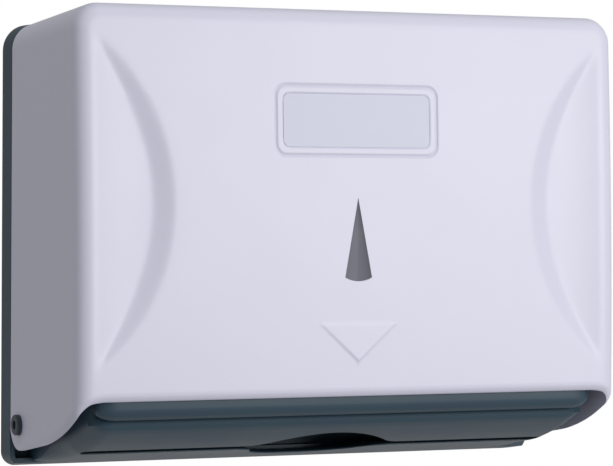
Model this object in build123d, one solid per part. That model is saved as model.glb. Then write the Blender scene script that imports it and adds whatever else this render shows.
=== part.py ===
from build123d import *
import os
from math import atan2, cos, degrees, radians, sin, sqrt

# Wall dispenser for folded hand towels: a shallow base pan on the wall, an outlet tray with a
# slot and a finger eye along its underside, and a cover that drops forward on two pins low at
# its sides and locks to a keeper at the top.
#
# Axes: +X to the right of someone facing the dispenser, -Y out of the wall, +Z up.
# The shapes are drawn with Z measured from the bottom edge of the base. When the pieces are
# written they are lowered by HOLES_Z, so the origin is the middle of the wall holes on the wall.

# Overall form
WIDTH = 267.0
BASE_HEIGHT = 202.0
COVER_HEIGHT = 208.5        # top of the cover at its front
FACE_LOW_Z = 35.1           # lower edge of the cover's face
DEPTH_LOW = 99.9            # face to wall at the lower edge
DEPTH_HIGH = 93.8           # face to wall at the top
FACE_BOW = 1.6              # how far the face bows out between the two
RIM_DEPTH = 12.5            # dark band of the base seen from the side
SEAM_GAP = 0.3
WALL = 2.2
CORNER_RADIUS = 12.0        # upper corners seen from the front
FOOT_RADIUS = 6.5           # lower corners of the base
EDGE_RADIUS = 7.0           # front edges of the cover

# Side scoops of the face, bounded by an arc each
SCOOP_Z = 121.5
SCOOP_DEPTH = 3.8
SCOOP_RADIUS = 120.0        # plan radius of the hollowed flank
SCOOP_INSET = 36.5          # deepest line of the flank, from the side
ARC_RADIUS = 91.0           # arc at the top of the step
ARC_CENTRE_OUT = 46.3       # arc's centre, beyond the side
STEP_RUN = 8.2              # width of the sloped step at full depth

# Cut-away lower edge of the cover
UNDERSIDE_SLOPE = 0.163
HEEL_Z = 20.4               # hinge axis height
HEEL_RADIUS = 11.6          # rear lower corner of the side, round the hinge
SWEEP_START_Y = -62.0       # where the side's lower edge begins to sweep up
FACE_END_RUN = 16.5         # from the side to where the sweep ends on the face
SWEEP_SHAPE = ((0.283, 0.193), (0.456, 0.380), (0.592, 0.597), (0.697, 0.793), (0.798, 0.926))

# Label field
LABEL_Z = 158.3
LABEL_WIDTH = 81.0
LABEL_HEIGHT = 32.4
LABEL_CORNER = 5.5
LABEL_GROOVE = 1.3
GROOVE_DEPTH = 0.6
LABEL_BORDER = 4.3          # from the outer edge to the sunk panel
LABEL_PANEL_CORNER = 3.0
LABEL_SINK = 0.8
LABEL_THICKNESS = 0.6
LABEL_CLEARANCE = 0.15

# Towel level window and arrow
WINDOW_TOP_Z = 124.0
WINDOW_LOW_Z = 88.3
WINDOW_HALF_WIDTH = 6.65
WINDOW_BASE_BULGE = 1.7
WINDOW_VALLEY = 1.3
WINDOW_FLANGE = 3.0
WINDOW_FLANGE_THICKNESS = 1.4
WINDOW_CLEARANCE = 0.08
WINDOW_SEAT_GAP = 0.15
ARROW_TIP_Z = 50.2
ARROW_TOP_Z = 68.7
ARROW_HALF_WIDTH = 20.4
ARROW_TIP_RISE = 0.8
ARROW_TOP_RISE = 0.15
ARROW_FLANK_ANGLE = 12.0

# Base pan
WEB_THICKNESS = 2.2
WEB_BACK = 2.8              # wall to the back of the web
TONGUE_THICKNESS = 1.8
TONGUE_REACH = 4.5
TONGUE_CLEARANCE = 0.4
TONGUE_LOW_Z = 46.0
RIB_THICKNESS = 1.6
RIB_COLUMNS = 7
RIB_ROWS = 4
RIB_SETBACK = 0.4
STACK_RIB_WIDTH = 2.4
STACK_RIB_RISE = 1.4
STACK_RIB_COUNT = 4
STACK_RIB_PITCH = 48.0
STACK_RIB_LOW_Z = 46.0
STACK_RIB_TOP_GAP = 2.4     # to the keeper's foot

# Wall holes
HOLES_Z = 110.0
HOLES_X_SPACING = 190.0
HOLES_Z_SPACING = 110.0
WALL_HOLE_RADIUS = 2.7
WALL_PAD_RADIUS = 8.0

# Outlet tray
TRAY_SIDE_GAP = 3.05        # tray's side to the head of the hinge pin
TRAY_WALL = 2.2
TRAY_TOP_Z = 38.0
ROLL_SETBACK = 3.4          # face to the front of the roll
ROLL_DROP = 3.1             # face's lower edge to the roll's foremost line
CREASE_BACK = 5.8           # roll's front to the crease
CREASE_DROP = 8.2           # face's lower edge to the crease
BULGE_START = 3.0           # past the slot's rear edge
BULGE_SHAPE = ((0.196, 0.108), (0.504, 0.314), (0.756, 0.543), (0.936, 0.771))
ROLL_CHIN_BACK = 1.3        # a point of the roll's arc, behind its foremost line
ROLL_CHIN_DROP = 3.4        # and below it
ROLL_LEAN = 0.6
ROLL_END_SLOPE = 0.22       # how the rounded ends rise under the roll
TRAY_END_RADIUS = 1.2
TRAY_FRONT_RADIUS = 9.0
TRAY_FRONT_CLEAR = 0.3      # corner arcs start this far in front of the roll
LAP_GAP = 0.15
SLOT_FRONT_Y = -62.0
SLOT_REAR_Y = -52.0
SLOT_END_MARGIN = 6.8       # tray's side to the slot's end
SLOT_END_RADIUS = 4.5
EYE_RADIUS = 29.0
EYE_Y = -50.4
EYE_BLEND = 12.0
OUTLET_LIP = 0.5            # thickness of the outlet's thinned rear lip
OUTLET_LIP_ANGLE = 60.0     # bevel above it, from upright
OUTLET_LIP_SETBACK = 5.0    # bevel starts this far in front of the slot's rear edge

# Hinge
PIN_RADIUS = 2.0
PIN_RUNNING_FIT = 0.05
FIXED_FIT = 0.03
PIN_HEAD_RADIUS = 3.6
PIN_HEAD_THICKNESS = 1.6
PIN_HEAD_GAP = 0.05
BUSH_RADIUS = 3.5
BUSH_FLANGE_RADIUS = 4.7
BUSH_FLANGE_THICKNESS = 2.3
BUSH_CHAMFER = 0.4
PIN_RECESS = 0.8
EAR_THICKNESS = 3.6
EAR_RADIUS = 8.2
EAR_GUSSET = 8.0
EAR_GAP = 0.4               # ear to the inside of the cover's wall

# Lock in the cover's top
LOCK_Y = -34.0
LOCK_BODY_RADIUS = 8.0
LOCK_FLANGE_RADIUS = 11.0
LOCK_FLANGE_THICKNESS = 1.6
LOCK_FLANGE_BEVEL = 0.7
LOCK_BODY_LENGTH = 10.5
LOCK_NUT_ACROSS_FLATS = 21.0
LOCK_NUT_THICKNESS = 3.2
BARREL_RADIUS = 6.0
BARREL_HEAD_RADIUS = 7.0
BARREL_HEAD_DEPTH = 1.2
BARREL_SINK = 0.1           # head below the flange's face
BARREL_FIT = 0.08
KEY_SLOT_LENGTH = 8.0
KEY_SLOT_WIDTH = 1.8
KEY_SLOT_DEPTH = 5.0
CAM_TOP = 13.6              # below the cover's outer skin
CAM_THICKNESS = 2.0
CAM_REACH = 16.0
CAM_TAIL_RADIUS = 5.0
CAM_TIP_RADIUS = 3.5
CAM_SQUARE = 6.0
CAM_SQUARE_FIT = 0.05
CAM_SCREW_HEAD_RADIUS = 3.4
CAM_SCREW_HEAD = 2.0
CAM_SCREW_RADIUS = 1.5
CAM_SCREW_LENGTH = 6.0
CAM_SCREW_SLOT = (4.4, 0.8)
SCREW_HOLE_SPARE = 0.2

# Keeper on the base
KEEPER_THICKNESS = 1.6
KEEPER_HOOK_IN_X = -7.0
KEEPER_HOOK_OUT_X = -17.0
KEEPER_CAM_GAP = 0.7
KEEPER_LIP_UP = 2.4         # lip top above the cam's underside
KEEPER_SHELF_GAP = 2.0      # shelf below the cam's underside
KEEPER_FOOT_HEIGHT = 14.0
KEEPER_FOOT_WIDTH = 34.0
KEEPER_SCREW_SPACING = 22.0

# Small screws
SCREW_RADIUS = 1.5
SCREW_HEAD_RADIUS = 2.8
SCREW_HEAD_HEIGHT = 1.9
SCREW_HEAD_BEVEL = 0.7
SCREW_RECESS_LENGTH = 2.6
SCREW_RECESS_WIDTH = 0.7
SCREW_RECESS_DEPTH = 0.8
SCREW_CLEARANCE = 0.15
SCREW_TIP_GAP = 0.6         # screw tip to the wall
BOSS_RADIUS = 3.6
TRAY_SCREW_INSET = 24.6     # outer tray screws, from the tray's side
TRAY_SCREW_EYE_GAP = 5.0    # inner tray screws, from the finger eye's edge
TRAY_SCREW_Z = 26.0

# Working values
SEAT_GAP = 0.02             # between flat faces that touch
JOIN = 0.3                  # how far solids reach into each other before they are joined
PAST = 5.0                  # how far a cutting shape runs past what it cuts

# Values that follow from the sizes above
HALF_WIDTH = WIDTH / 2
SEAM_Y = -RIM_DEPTH - SEAM_GAP
HINGE_Y = SEAM_Y - HEEL_RADIUS
WEB_FRONT_Y = -WEB_BACK - WEB_THICKNESS
TOP_SLOPE = (COVER_HEIGHT - BASE_HEIGHT) / (DEPTH_HIGH - RIM_DEPTH)
TOP_ANGLE = degrees(atan2(TOP_SLOPE, 1))
INNER_X = HALF_WIDTH - WALL
EAR_OUT_X = INNER_X - EAR_GAP
EAR_IN_X = EAR_OUT_X - EAR_THICKNESS
SCOOP_X = HALF_WIDTH - SCOOP_INSET
ARC_X = HALF_WIDTH + ARC_CENTRE_OUT
TRAY_HALF_WIDTH = EAR_IN_X - PIN_HEAD_GAP - PIN_HEAD_THICKNESS - TRAY_SIDE_GAP
SLOT_HALF_LENGTH = TRAY_HALF_WIDTH - SLOT_END_MARGIN


def face_circle():
    """Centre (y, z) and radius of the arc that the face follows from bottom to top."""
    low = Vector(0, -DEPTH_LOW, FACE_LOW_Z)
    high = Vector(0, -DEPTH_HIGH, COVER_HEIGHT)
    chord = high - low
    radius = (chord.length ** 2 / 4 + FACE_BOW ** 2) / (2 * FACE_BOW)
    inward = Vector(0, chord.Z, -chord.Y).normalized()
    centre = (low + high) * 0.5 + inward * (radius - FACE_BOW)
    return centre.Y, centre.Z, radius


FACE_CY, FACE_CZ, FACE_RADIUS = face_circle()


def face_y(z, inset=0.0):
    """Y of the face, or of a skin a little inside it, at a height."""
    return FACE_CY - sqrt((FACE_RADIUS - inset) ** 2 - (z - FACE_CZ) ** 2)


def top_z(y, inset=0.0):
    """Z of the cover's sloping top at a depth."""
    return BASE_HEIGHT + (-y - RIM_DEPTH) * TOP_SLOPE - inset / cos(radians(TOP_ANGLE))


def face_plane(z):
    """Plane lying on the face at a height, with its normal out of the dispenser."""
    normal = Vector(0, face_y(z) - FACE_CY, z - FACE_CZ)
    return Plane(origin=(0, face_y(z), z), x_dir=(1, 0, 0), z_dir=normal)


def side_prism(face, half_width):
    """Solid from a (Y, Z) outline, as wide on both sides of the middle."""
    return extrude(Plane.YZ * face, half_width, both=True)


def front_prism(face, y_start, y_end):
    """Solid from an (X, Z) outline between two depths, y_end being nearer the user."""
    return extrude(Plane.XZ.offset(-y_start) * face, y_start - y_end)


def below(z):
    """Everything under a height, as a large box."""
    return Pos(0, 0, z - WIDTH) * Box(4 * WIDTH, 4 * WIDTH, 2 * WIDTH)


def x_cylinder(radius, x_from, x_to, y, z):
    """Cylinder along X between two places."""
    plane = Plane(origin=(min(x_from, x_to), y, z), z_dir=(1, 0, 0))
    return extrude(plane * Circle(radius), abs(x_to - x_from))


def y_cylinder(radius, y_from, y_to, x, z):
    """Cylinder along Y between two places."""
    plane = Plane(origin=(x, max(y_from, y_to), z), z_dir=(0, -1, 0))
    return extrude(plane * Circle(radius), abs(y_to - y_from))


# ---------------------------------------------------------------- cover

def cover_block(inset, back_y, low_z):
    """Solid bounded by the cover's skin, or by the skin moved inwards."""
    high_z = COVER_HEIGHT
    for _ in range(6):
        high_z = top_z(face_y(high_z, inset), inset)
    high_y = face_y(high_z, inset)
    mid_z = (low_z + high_z) / 2
    outline = make_face([
        Line((back_y, low_z), (face_y(low_z, inset), low_z)),
        ThreePointArc((face_y(low_z, inset), low_z), (face_y(mid_z, inset), mid_z), (high_y, high_z)),
        Line((high_y, high_z), (back_y, top_z(back_y, inset))),
        Line((back_y, top_z(back_y, inset)), (back_y, low_z)),
    ])
    block = side_prism(outline, HALF_WIDTH - inset)
    top = block.faces().sort_by(Axis.Z)[-1]
    corners = [edge for edge in top.edges() if edge.bounding_box().size.X < PAST]
    block = fillet(corners, CORNER_RADIUS - inset)
    face = block.faces().sort_by(Axis.Y)[0]
    front = [edge for edge in face.edges() if edge.center().Z > low_z + PAST]
    return fillet(front, EDGE_RADIUS - inset)


def scoop(side, inset):
    """Material taken off one flank of the face, inside the arc."""
    plane = face_plane(SCOOP_Z)
    out = plane.z_dir
    disc_plane = Plane(origin=plane.origin, x_dir=(1, 0, 0), z_dir=Vector(1, 0, 0).cross(out))
    disc = disc_plane * Pos(side * SCOOP_X, SCOOP_RADIUS - SCOOP_DEPTH) * Circle(SCOOP_RADIUS + inset)
    axis = Axis((0, FACE_CY, FACE_CZ), (1, 0, 0))
    half_angle = degrees(0.62 * (COVER_HEIGHT - FACE_LOW_Z) / FACE_RADIUS)
    flank = revolve(disc.rotate(axis, -half_angle), axis, 2 * half_angle)
    run_per_depth = STEP_RUN / SCOOP_DEPTH
    depth_below = SCOOP_DEPTH + PAST
    height_above = 2 * PAST
    shift = inset / sin(atan2(run_per_depth, 1))
    step = plane * Pos(side * ARC_X, 0, -depth_below - shift) * Cone(
        ARC_RADIUS - depth_below * run_per_depth,
        ARC_RADIUS + height_above * run_per_depth,
        depth_below + height_above,
        align=(Align.CENTER, Align.CENTER, Align.MIN),
    )
    return flank & step


def heel_cut():
    """Space below the side's lower edge, from the hinge forward to where the sweep begins."""
    slope_angle = atan2(UNDERSIDE_SLOPE, 1)
    heel = CenterArc((HINGE_Y, HEEL_Z), HEEL_RADIUS, 0, -90 - degrees(slope_angle))
    under = -4 * PAST
    over = FACE_LOW_Z + PAST
    behind = 4 * PAST
    beyond = -DEPTH_LOW - 4 * PAST
    return side_prism(make_face([
        Line((behind, HEEL_Z), heel @ 0),
        heel,
        Line(heel @ 1, (SWEEP_START_Y, sweep_start_z())),
        Line((SWEEP_START_Y, sweep_start_z()), (SWEEP_START_Y, over)),
        Line((SWEEP_START_Y, over), (beyond, over)),
        Line((beyond, over), (beyond, under)),
        Line((beyond, under), (behind, under)),
        Line((behind, under), (behind, HEEL_Z)),
    ]), HALF_WIDTH + PAST)


def sweep_start_z():
    """Height of the side's lower edge where its sweep begins."""
    slope_angle = atan2(UNDERSIDE_SLOPE, 1)
    heel_end_y = HINGE_Y - HEEL_RADIUS * sin(slope_angle)
    return HEEL_Z - HEEL_RADIUS * cos(slope_angle) + (heel_end_y - SWEEP_START_Y) * UNDERSIDE_SLOPE


def corner_cut():
    """Space below the lower edge of the right half, drawn square to the front corner.

    The drawing runs along the side and on along the face, so that one curve carries the sweep
    round the corner and the wall is cut level from its outer to its inner skin.
    """
    corner = Plane(origin=(HALF_WIDTH, -DEPTH_LOW, 0), x_dir=(1, 1, 0), z_dir=(1, -1, 0))
    seen = 1 / sqrt(2)
    start = ((DEPTH_LOW + SWEEP_START_Y) * seen, sweep_start_z())
    end = (-FACE_END_RUN * seen, FACE_LOW_Z)
    run = end[0] - start[0]
    rise = end[1] - start[1]
    between = [(start[0] + run * u, start[1] + rise * v) for u, v in SWEEP_SHAPE]
    sweep = Spline(start, *between, end, tangents=((-seen, UNDERSIDE_SLOPE), (-1, 0)))
    under = -4 * PAST
    over = FACE_LOW_Z + 2 * PAST
    back = (DEPTH_LOW + 4 * PAST) * seen
    middle = -(HALF_WIDTH + PAST) * seen
    return extrude(corner * make_face([
        sweep,
        Line(end, (middle, FACE_LOW_Z)),
        Line((middle, FACE_LOW_Z), (middle, under)),
        Line((middle, under), (back, under)),
        Line((back, under), (back, over)),
        Line((back, over), (start[0], over)),
        Line((start[0], over), start),
    ]), WIDTH, both=True)


def lower_cut(side):
    """Space below the cover's lower edge on one half."""
    half = corner_cut() & heel_cut()
    return half if side > 0 else half.mirror(Plane.YZ)


def rounded_bar(width, height, radius, plane, low, high):
    """Rounded rectangle on a plane, from one level to another."""
    return extrude(plane.offset(low) * RectangleRounded(width, height, radius), high - low)


def label_cut():
    """Groove ring and sunk panel of the label field."""
    plane = face_plane(LABEL_Z)
    ring = rounded_bar(LABEL_WIDTH, LABEL_HEIGHT, LABEL_CORNER, plane, -GROOVE_DEPTH, PAST)
    island_width = LABEL_WIDTH - 2 * LABEL_GROOVE
    island_height = LABEL_HEIGHT - 2 * LABEL_GROOVE
    island_corner = LABEL_CORNER - LABEL_GROOVE
    ring -= rounded_bar(island_width, island_height, island_corner, plane, -PAST, 2 * PAST)
    panel = rounded_bar(
        LABEL_WIDTH - 2 * LABEL_BORDER, LABEL_HEIGHT - 2 * LABEL_BORDER, LABEL_PANEL_CORNER,
        plane, -LABEL_SINK, PAST,
    )
    return ring + panel


def label_plate():
    """Bare plate lying in the sunk panel."""
    plane = face_plane(LABEL_Z)
    return rounded_bar(
        LABEL_WIDTH - 2 * (LABEL_BORDER + LABEL_CLEARANCE),
        LABEL_HEIGHT - 2 * (LABEL_BORDER + LABEL_CLEARANCE),
        LABEL_PANEL_CORNER - LABEL_CLEARANCE,
        plane, -LABEL_SINK, -LABEL_SINK + LABEL_THICKNESS,
    )


def window_outline(grow):
    """Tall triangle with a rounded base, as a sketch on the plane at the window's middle."""
    middle = (WINDOW_TOP_Z + WINDOW_LOW_Z) / 2
    top = WINDOW_TOP_Z - middle
    low = WINDOW_LOW_Z - middle
    base = ThreePointArc(
        (-WINDOW_HALF_WIDTH, low), (0, low - WINDOW_BASE_BULGE), (WINDOW_HALF_WIDTH, low))
    outline = make_face([
        base,
        Line((WINDOW_HALF_WIDTH, low), (0, top)),
        Line((0, top), (-WINDOW_HALF_WIDTH, low)),
    ])
    if grow == 0:
        return outline
    return offset(outline, grow, kind=Kind.ARC if grow > 0 else Kind.INTERSECTION)


def window_plane():
    """Plane on the face at the window's middle."""
    return face_plane((WINDOW_TOP_Z + WINDOW_LOW_Z) / 2)


def level_window():
    """Smoke-coloured insert: a valley-shaped front in the opening and a flange behind the wall."""
    plane = window_plane()
    height = WINDOW_TOP_Z - WINDOW_LOW_Z
    seat = WALL + WINDOW_SEAT_GAP
    plug = extrude(
        plane.offset(-seat - JOIN) * window_outline(-WINDOW_CLEARANCE), seat + JOIN)
    flange = extrude(
        plane.offset(-seat - WINDOW_FLANGE_THICKNESS) * window_outline(WINDOW_FLANGE),
        WINDOW_FLANGE_THICKNESS)
    base = -height / 2 - WINDOW_BASE_BULGE
    mouth = plane * make_face(Polyline(
        (-WINDOW_HALF_WIDTH, base), (WINDOW_HALF_WIDTH, base), (0, height / 2), close=True))
    valley_tip = plane.from_local_coords(Vector(0, base, -WINDOW_VALLEY))
    corners = [vertex.center() for vertex in mouth.vertices()]
    walls = [
        Face(Wire.make_polygon([corners[i], corners[(i + 1) % 3], valley_tip], close=True))
        for i in range(3)
    ]
    valley = Solid(Shell([mouth.face()] + walls))
    return plug + flange - valley


def arrow():
    """Raised arrow head that points down and fades out at its top."""
    plane = face_plane((ARROW_TIP_Z + ARROW_TOP_Z) / 2)
    half = (ARROW_TOP_Z - ARROW_TIP_Z) / 2
    head = make_face(Polyline(
        (0, -half), (ARROW_HALF_WIDTH, half), (-ARROW_HALF_WIDTH, half), close=True))
    block = extrude(
        plane.offset(-WALL / 2) * head, WALL / 2 + ARROW_TIP_RISE, taper=ARROW_FLANK_ANGLE)
    ramp_face = make_face(Polyline(
        (-half - JOIN, ARROW_TIP_RISE), (half + JOIN, ARROW_TOP_RISE),
        (half + JOIN, PAST), (-half - JOIN, PAST), close=True))
    ramp_plane = Plane(origin=plane.origin, x_dir=plane.y_dir, z_dir=(1, 0, 0))
    return block - extrude(ramp_plane * ramp_face, ARROW_HALF_WIDTH + PAST, both=True)


def front_cover():
    """Thin moulded hood, open at the back and underneath."""
    skin = cover_block(0, SEAM_Y, -2 * PAST)
    hollow = cover_block(WALL, 4 * PAST, -3 * PAST)
    for side in (-1, 1):
        skin -= scoop(side, 0)
        hollow -= scoop(side, WALL)
    cover = skin - hollow - lower_cut(-1) - lower_cut(1)
    for side in (-1, 1):
        cover -= x_cylinder(
            BUSH_RADIUS + FIXED_FIT, side * (INNER_X - PAST), side * (HALF_WIDTH + PAST),
            HINGE_Y, HEEL_Z)
    cover -= label_cut()
    cover += arrow()
    cover -= extrude(window_plane().offset(-PAST) * window_outline(0), 2 * PAST)
    return cover - lock_frame() * post(LOCK_BODY_RADIUS + FIXED_FIT, -PAST, PAST)


# ---------------------------------------------------------------- hinge

def hinge_bush(side):
    """Flanged bush in the cover's wall; its ring shows outside."""
    bush = x_cylinder(BUSH_RADIUS, side * INNER_X, side * HALF_WIDTH, HINGE_Y, HEEL_Z)
    outer = HALF_WIDTH + BUSH_FLANGE_THICKNESS
    bush += x_cylinder(BUSH_FLANGE_RADIUS, side * HALF_WIDTH, side * outer, HINGE_Y, HEEL_Z)
    rim = bush.edges().filter_by(GeomType.CIRCLE).sort_by(lambda e: abs(e.center().X))[-1]
    bush = chamfer(rim, BUSH_CHAMFER)
    bore = PIN_RADIUS + PIN_RUNNING_FIT
    return bush - x_cylinder(bore, side * (INNER_X - PAST), side * (outer + PAST), HINGE_Y, HEEL_Z)


def hinge_pin(side):
    """Headed pin pushed through the base's ear from inside; the cover turns on it."""
    head_end = EAR_IN_X - PIN_HEAD_GAP
    head_start = head_end - PIN_HEAD_THICKNESS
    tip = HALF_WIDTH + BUSH_FLANGE_THICKNESS - PIN_RECESS
    pin = x_cylinder(PIN_HEAD_RADIUS, side * head_start, side * head_end, HINGE_Y, HEEL_Z)
    return pin + x_cylinder(PIN_RADIUS, side * (head_end - JOIN), side * tip, HINGE_Y, HEEL_Z)


def hinge_ear(side):
    """Lug on the base beside the tray, with the pin's hole."""
    root_y = WEB_FRONT_Y + JOIN
    low = HEEL_Z - EAR_RADIUS
    high = HEEL_Z + EAR_RADIUS
    outline = make_face([
        Line((root_y, low), (HINGE_Y, low)),
        ThreePointArc((HINGE_Y, low), (HINGE_Y - EAR_RADIUS, HEEL_Z), (HINGE_Y, high)),
        Line((HINGE_Y, high), (root_y, high + EAR_GUSSET)),
        Line((root_y, high + EAR_GUSSET), (root_y, low)),
    ])
    ear = Pos((EAR_IN_X + EAR_OUT_X) / 2 * side, 0, 0) * side_prism(outline, EAR_THICKNESS / 2)
    return ear - x_cylinder(
        PIN_RADIUS + FIXED_FIT, side * (EAR_IN_X - PAST), side * (EAR_OUT_X + PAST),
        HINGE_Y, HEEL_Z)


# ---------------------------------------------------------------- base

def base_outline(inset):
    """Outline of the base seen from the front, moved inwards."""
    plate = Pos(0, BASE_HEIGHT / 2) * Rectangle(WIDTH - 2 * inset, BASE_HEIGHT - 2 * inset)
    plate = fillet(plate.vertices().group_by(Axis.Y)[-1], CORNER_RADIUS - inset)
    return fillet(plate.vertices().group_by(Axis.Y)[0], FOOT_RADIUS - inset)


def above_underside(rise):
    """Everything above the base's sloping bottom, raised by an amount."""
    near = PAST
    far = -RIM_DEPTH - 2 * PAST
    over = COVER_HEIGHT + PAST
    return side_prism(make_face(Polyline(
        (near, rise - near * UNDERSIDE_SLOPE), (far, rise - far * UNDERSIDE_SLOPE),
        (far, over), (near, over), close=True)), HALF_WIDTH + PAST)


def back_ribs():
    """Grid of thin ribs between the web and the wall."""
    depth = WEB_BACK - RIB_SETBACK + JOIN
    y_mid = -RIB_SETBACK - depth / 2
    ribs = []
    for i in range(RIB_COLUMNS):
        x = (i - (RIB_COLUMNS - 1) / 2) * (WIDTH - 2 * WALL) / RIB_COLUMNS
        ribs.append(Pos(x, y_mid, BASE_HEIGHT / 2) * Box(RIB_THICKNESS, depth, BASE_HEIGHT))
    for i in range(RIB_ROWS):
        z = (i + 1) * BASE_HEIGHT / (RIB_ROWS + 1)
        ribs.append(Pos(0, y_mid, z) * Box(WIDTH, depth, RIB_THICKNESS))
    grid = Part() + ribs
    return grid & front_prism(base_outline(WALL / 2), 0, -WEB_BACK - PAST) & above_underside(WALL / 2)


def stack_ribs():
    """Raised ribs on the web that the stack of towels slides down along."""
    length = keeper_foot_z() - STACK_RIB_TOP_GAP - STACK_RIB_LOW_Z
    depth = STACK_RIB_RISE + JOIN
    y_mid = WEB_FRONT_Y + JOIN - depth / 2
    middle = (STACK_RIB_COUNT - 1) / 2
    return [
        Pos((i - middle) * STACK_RIB_PITCH, y_mid, STACK_RIB_LOW_Z + length / 2)
        * Box(STACK_RIB_WIDTH, depth, length)
        for i in range(STACK_RIB_COUNT)
    ]


def rim_tongue():
    """Lip that stands inside the rim and carries the cover's edge, open along its bottom."""
    reach_y = -RIM_DEPTH - TONGUE_REACH
    root = front_prism(base_outline(WALL), WEB_FRONT_Y, -RIM_DEPTH)
    lip = front_prism(base_outline(WALL + TONGUE_CLEARANCE), -RIM_DEPTH, reach_y)
    inner = base_outline(WALL + TONGUE_CLEARANCE + TONGUE_THICKNESS)
    return root + lip - front_prism(inner, 0, reach_y - PAST) - below(TONGUE_LOW_Z)


def tray_screw_xs():
    """The four tray screws' places across the web, from left to right."""
    outer = TRAY_HALF_WIDTH - TRAY_SCREW_INSET
    inner = EYE_RADIUS + TRAY_SCREW_EYE_GAP
    return [-outer, -inner, inner, outer]


def screw_places():
    """(x, z) of each small screw in the web."""
    keeper = [(x, keeper_screw_z()) for x in keeper_screw_xs()]
    return [(x, TRAY_SCREW_Z) for x in tray_screw_xs()] + keeper


def back_plate():
    """Shallow pan that hangs on the wall and carries everything else."""
    pan = base_outline(WALL)
    plate = front_prism(base_outline(0), 0, -RIM_DEPTH) & above_underside(0)
    plate -= front_prism(pan, PAST, -WEB_BACK) & above_underside(WALL)
    plate -= front_prism(pan, WEB_FRONT_Y, -RIM_DEPTH - PAST) & above_underside(WALL)
    plate += rim_tongue()
    plate += back_ribs()
    pads = []
    holes = []
    for x in (-HOLES_X_SPACING / 2, HOLES_X_SPACING / 2):
        for z in (HOLES_Z - HOLES_Z_SPACING / 2, HOLES_Z + HOLES_Z_SPACING / 2):
            pads.append(y_cylinder(WALL_PAD_RADIUS, 0, -WEB_BACK - JOIN, x, z))
            holes.append(y_cylinder(WALL_HOLE_RADIUS, PAST, WEB_FRONT_Y - PAST, x, z))
    for x, z in screw_places():
        hole_end = -SCREW_TIP_GAP + SCREW_HOLE_SPARE
        pads.append(y_cylinder(BOSS_RADIUS, 0, -WEB_BACK - JOIN, x, z))
        holes.append(y_cylinder(SCREW_RADIUS + FIXED_FIT, hole_end, WEB_FRONT_Y - PAST, x, z))
    plate += pads
    plate -= holes
    plate += stack_ribs()
    for side in (-1, 1):
        plate += hinge_ear(side)
    return plate


def screw(x, z, seat_y):
    """Pan-head screw driven straight back from a seat into the web."""
    head = y_cylinder(SCREW_HEAD_RADIUS, seat_y, seat_y - SCREW_HEAD_HEIGHT, x, z)
    top = head.edges().filter_by(GeomType.CIRCLE).sort_by(Axis.Y)[0]
    head = chamfer(top, SCREW_HEAD_BEVEL)
    recess = Pos(x, seat_y - SCREW_HEAD_HEIGHT, z)
    head -= recess * Box(SCREW_RECESS_LENGTH, 2 * SCREW_RECESS_DEPTH, SCREW_RECESS_WIDTH)
    head -= recess * Box(SCREW_RECESS_WIDTH, 2 * SCREW_RECESS_DEPTH, SCREW_RECESS_LENGTH)
    return head + y_cylinder(SCREW_RADIUS, -SCREW_TIP_GAP, seat_y - JOIN, x, z)


def screw_hole(x, z, thickness):
    """Clear hole for a small screw in a piece that lies against the web."""
    return y_cylinder(SCREW_RADIUS + SCREW_CLEARANCE, 0, WEB_FRONT_Y - thickness - PAST, x, z)


# ---------------------------------------------------------------- outlet tray

def roll_front_y():
    """Foremost line of the tray, just behind the cover's face."""
    return -DEPTH_LOW + ROLL_SETBACK


def tray_bulge():
    """Underside from the slot's rear up to the crease, as one edge in (y, z)."""
    start_y = SLOT_REAR_Y - BULGE_START
    start = (start_y, -start_y * UNDERSIDE_SLOPE)
    crease = (roll_front_y() + CREASE_BACK, FACE_LOW_Z - CREASE_DROP)
    run = crease[0] - start[0]
    rise = crease[1] - start[1]
    between = [(start[0] + run * u, start[1] + rise * v) for u, v in BULGE_SHAPE]
    return Spline(start, *between, crease, tangents=((-1, UNDERSIDE_SLOPE), (-0.35, 1)))


def roll_arc():
    """Front roll from the crease to its foremost line, as one edge in (y, z)."""
    front_y = roll_front_y()
    front_z = FACE_LOW_Z - ROLL_DROP
    chin = (front_y + ROLL_CHIN_BACK, front_z - ROLL_CHIN_DROP)
    return ThreePointArc(tray_bulge() @ 1, chin, (front_y, front_z))


def beside(edge, along, distance):
    """Point at a distance from an edge, on the towels' side of it."""
    tangent = edge % along
    return edge @ along + Vector(tangent.Y, -tangent.X) * distance


def inner_side(edge, distance):
    """Spline that runs beside an edge, on the towels' side of it."""
    steps = 8
    points = [beside(edge, i / steps, distance) for i in range(steps + 1)]
    return Spline(*points, tangents=(edge % 0, edge % 1))


def tray_section(place, half_width):
    """Upright cross-section with rounded lower corners, resting on a point of a side line."""
    height = 3 * TRAY_TOP_Z
    section = Pos(0, place.Y + height / 2) * Rectangle(2 * half_width, height)
    section = fillet(section.vertices().group_by(Axis.Y)[0], TRAY_END_RADIUS)
    return Plane.XZ.offset(-place.X) * section


def carried_floor(bulge, half_width, rear_y):
    """The section carried along the sloping floor and up the bulge without turning."""
    bend = bulge @ 0
    rear = Vector(rear_y, bend.Y - (rear_y - bend.X) * UNDERSIDE_SLOPE)
    slope = extrude(
        tray_section(rear, half_width), (bend - rear).length, dir=(0, -1, UNDERSIDE_SLOPE))
    return slope + sweep(tray_section(bend, half_width), path=Plane.YZ * bulge, normal=(0, -1, 0))


def tray_plan(half_width, inset):
    """Everything inside the tray's plan, rounded at its front corners."""
    front = roll_front_y() + inset - TRAY_FRONT_CLEAR
    plan = Pos(0, front + DEPTH_LOW) * Rectangle(2 * half_width, 2 * DEPTH_LOW)
    plan = fillet(plan.vertices().group_by(Axis.Y)[0], TRAY_FRONT_RADIUS - inset)
    return extrude(Plane.XY.offset(-PAST) * plan, COVER_HEIGHT)


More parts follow.
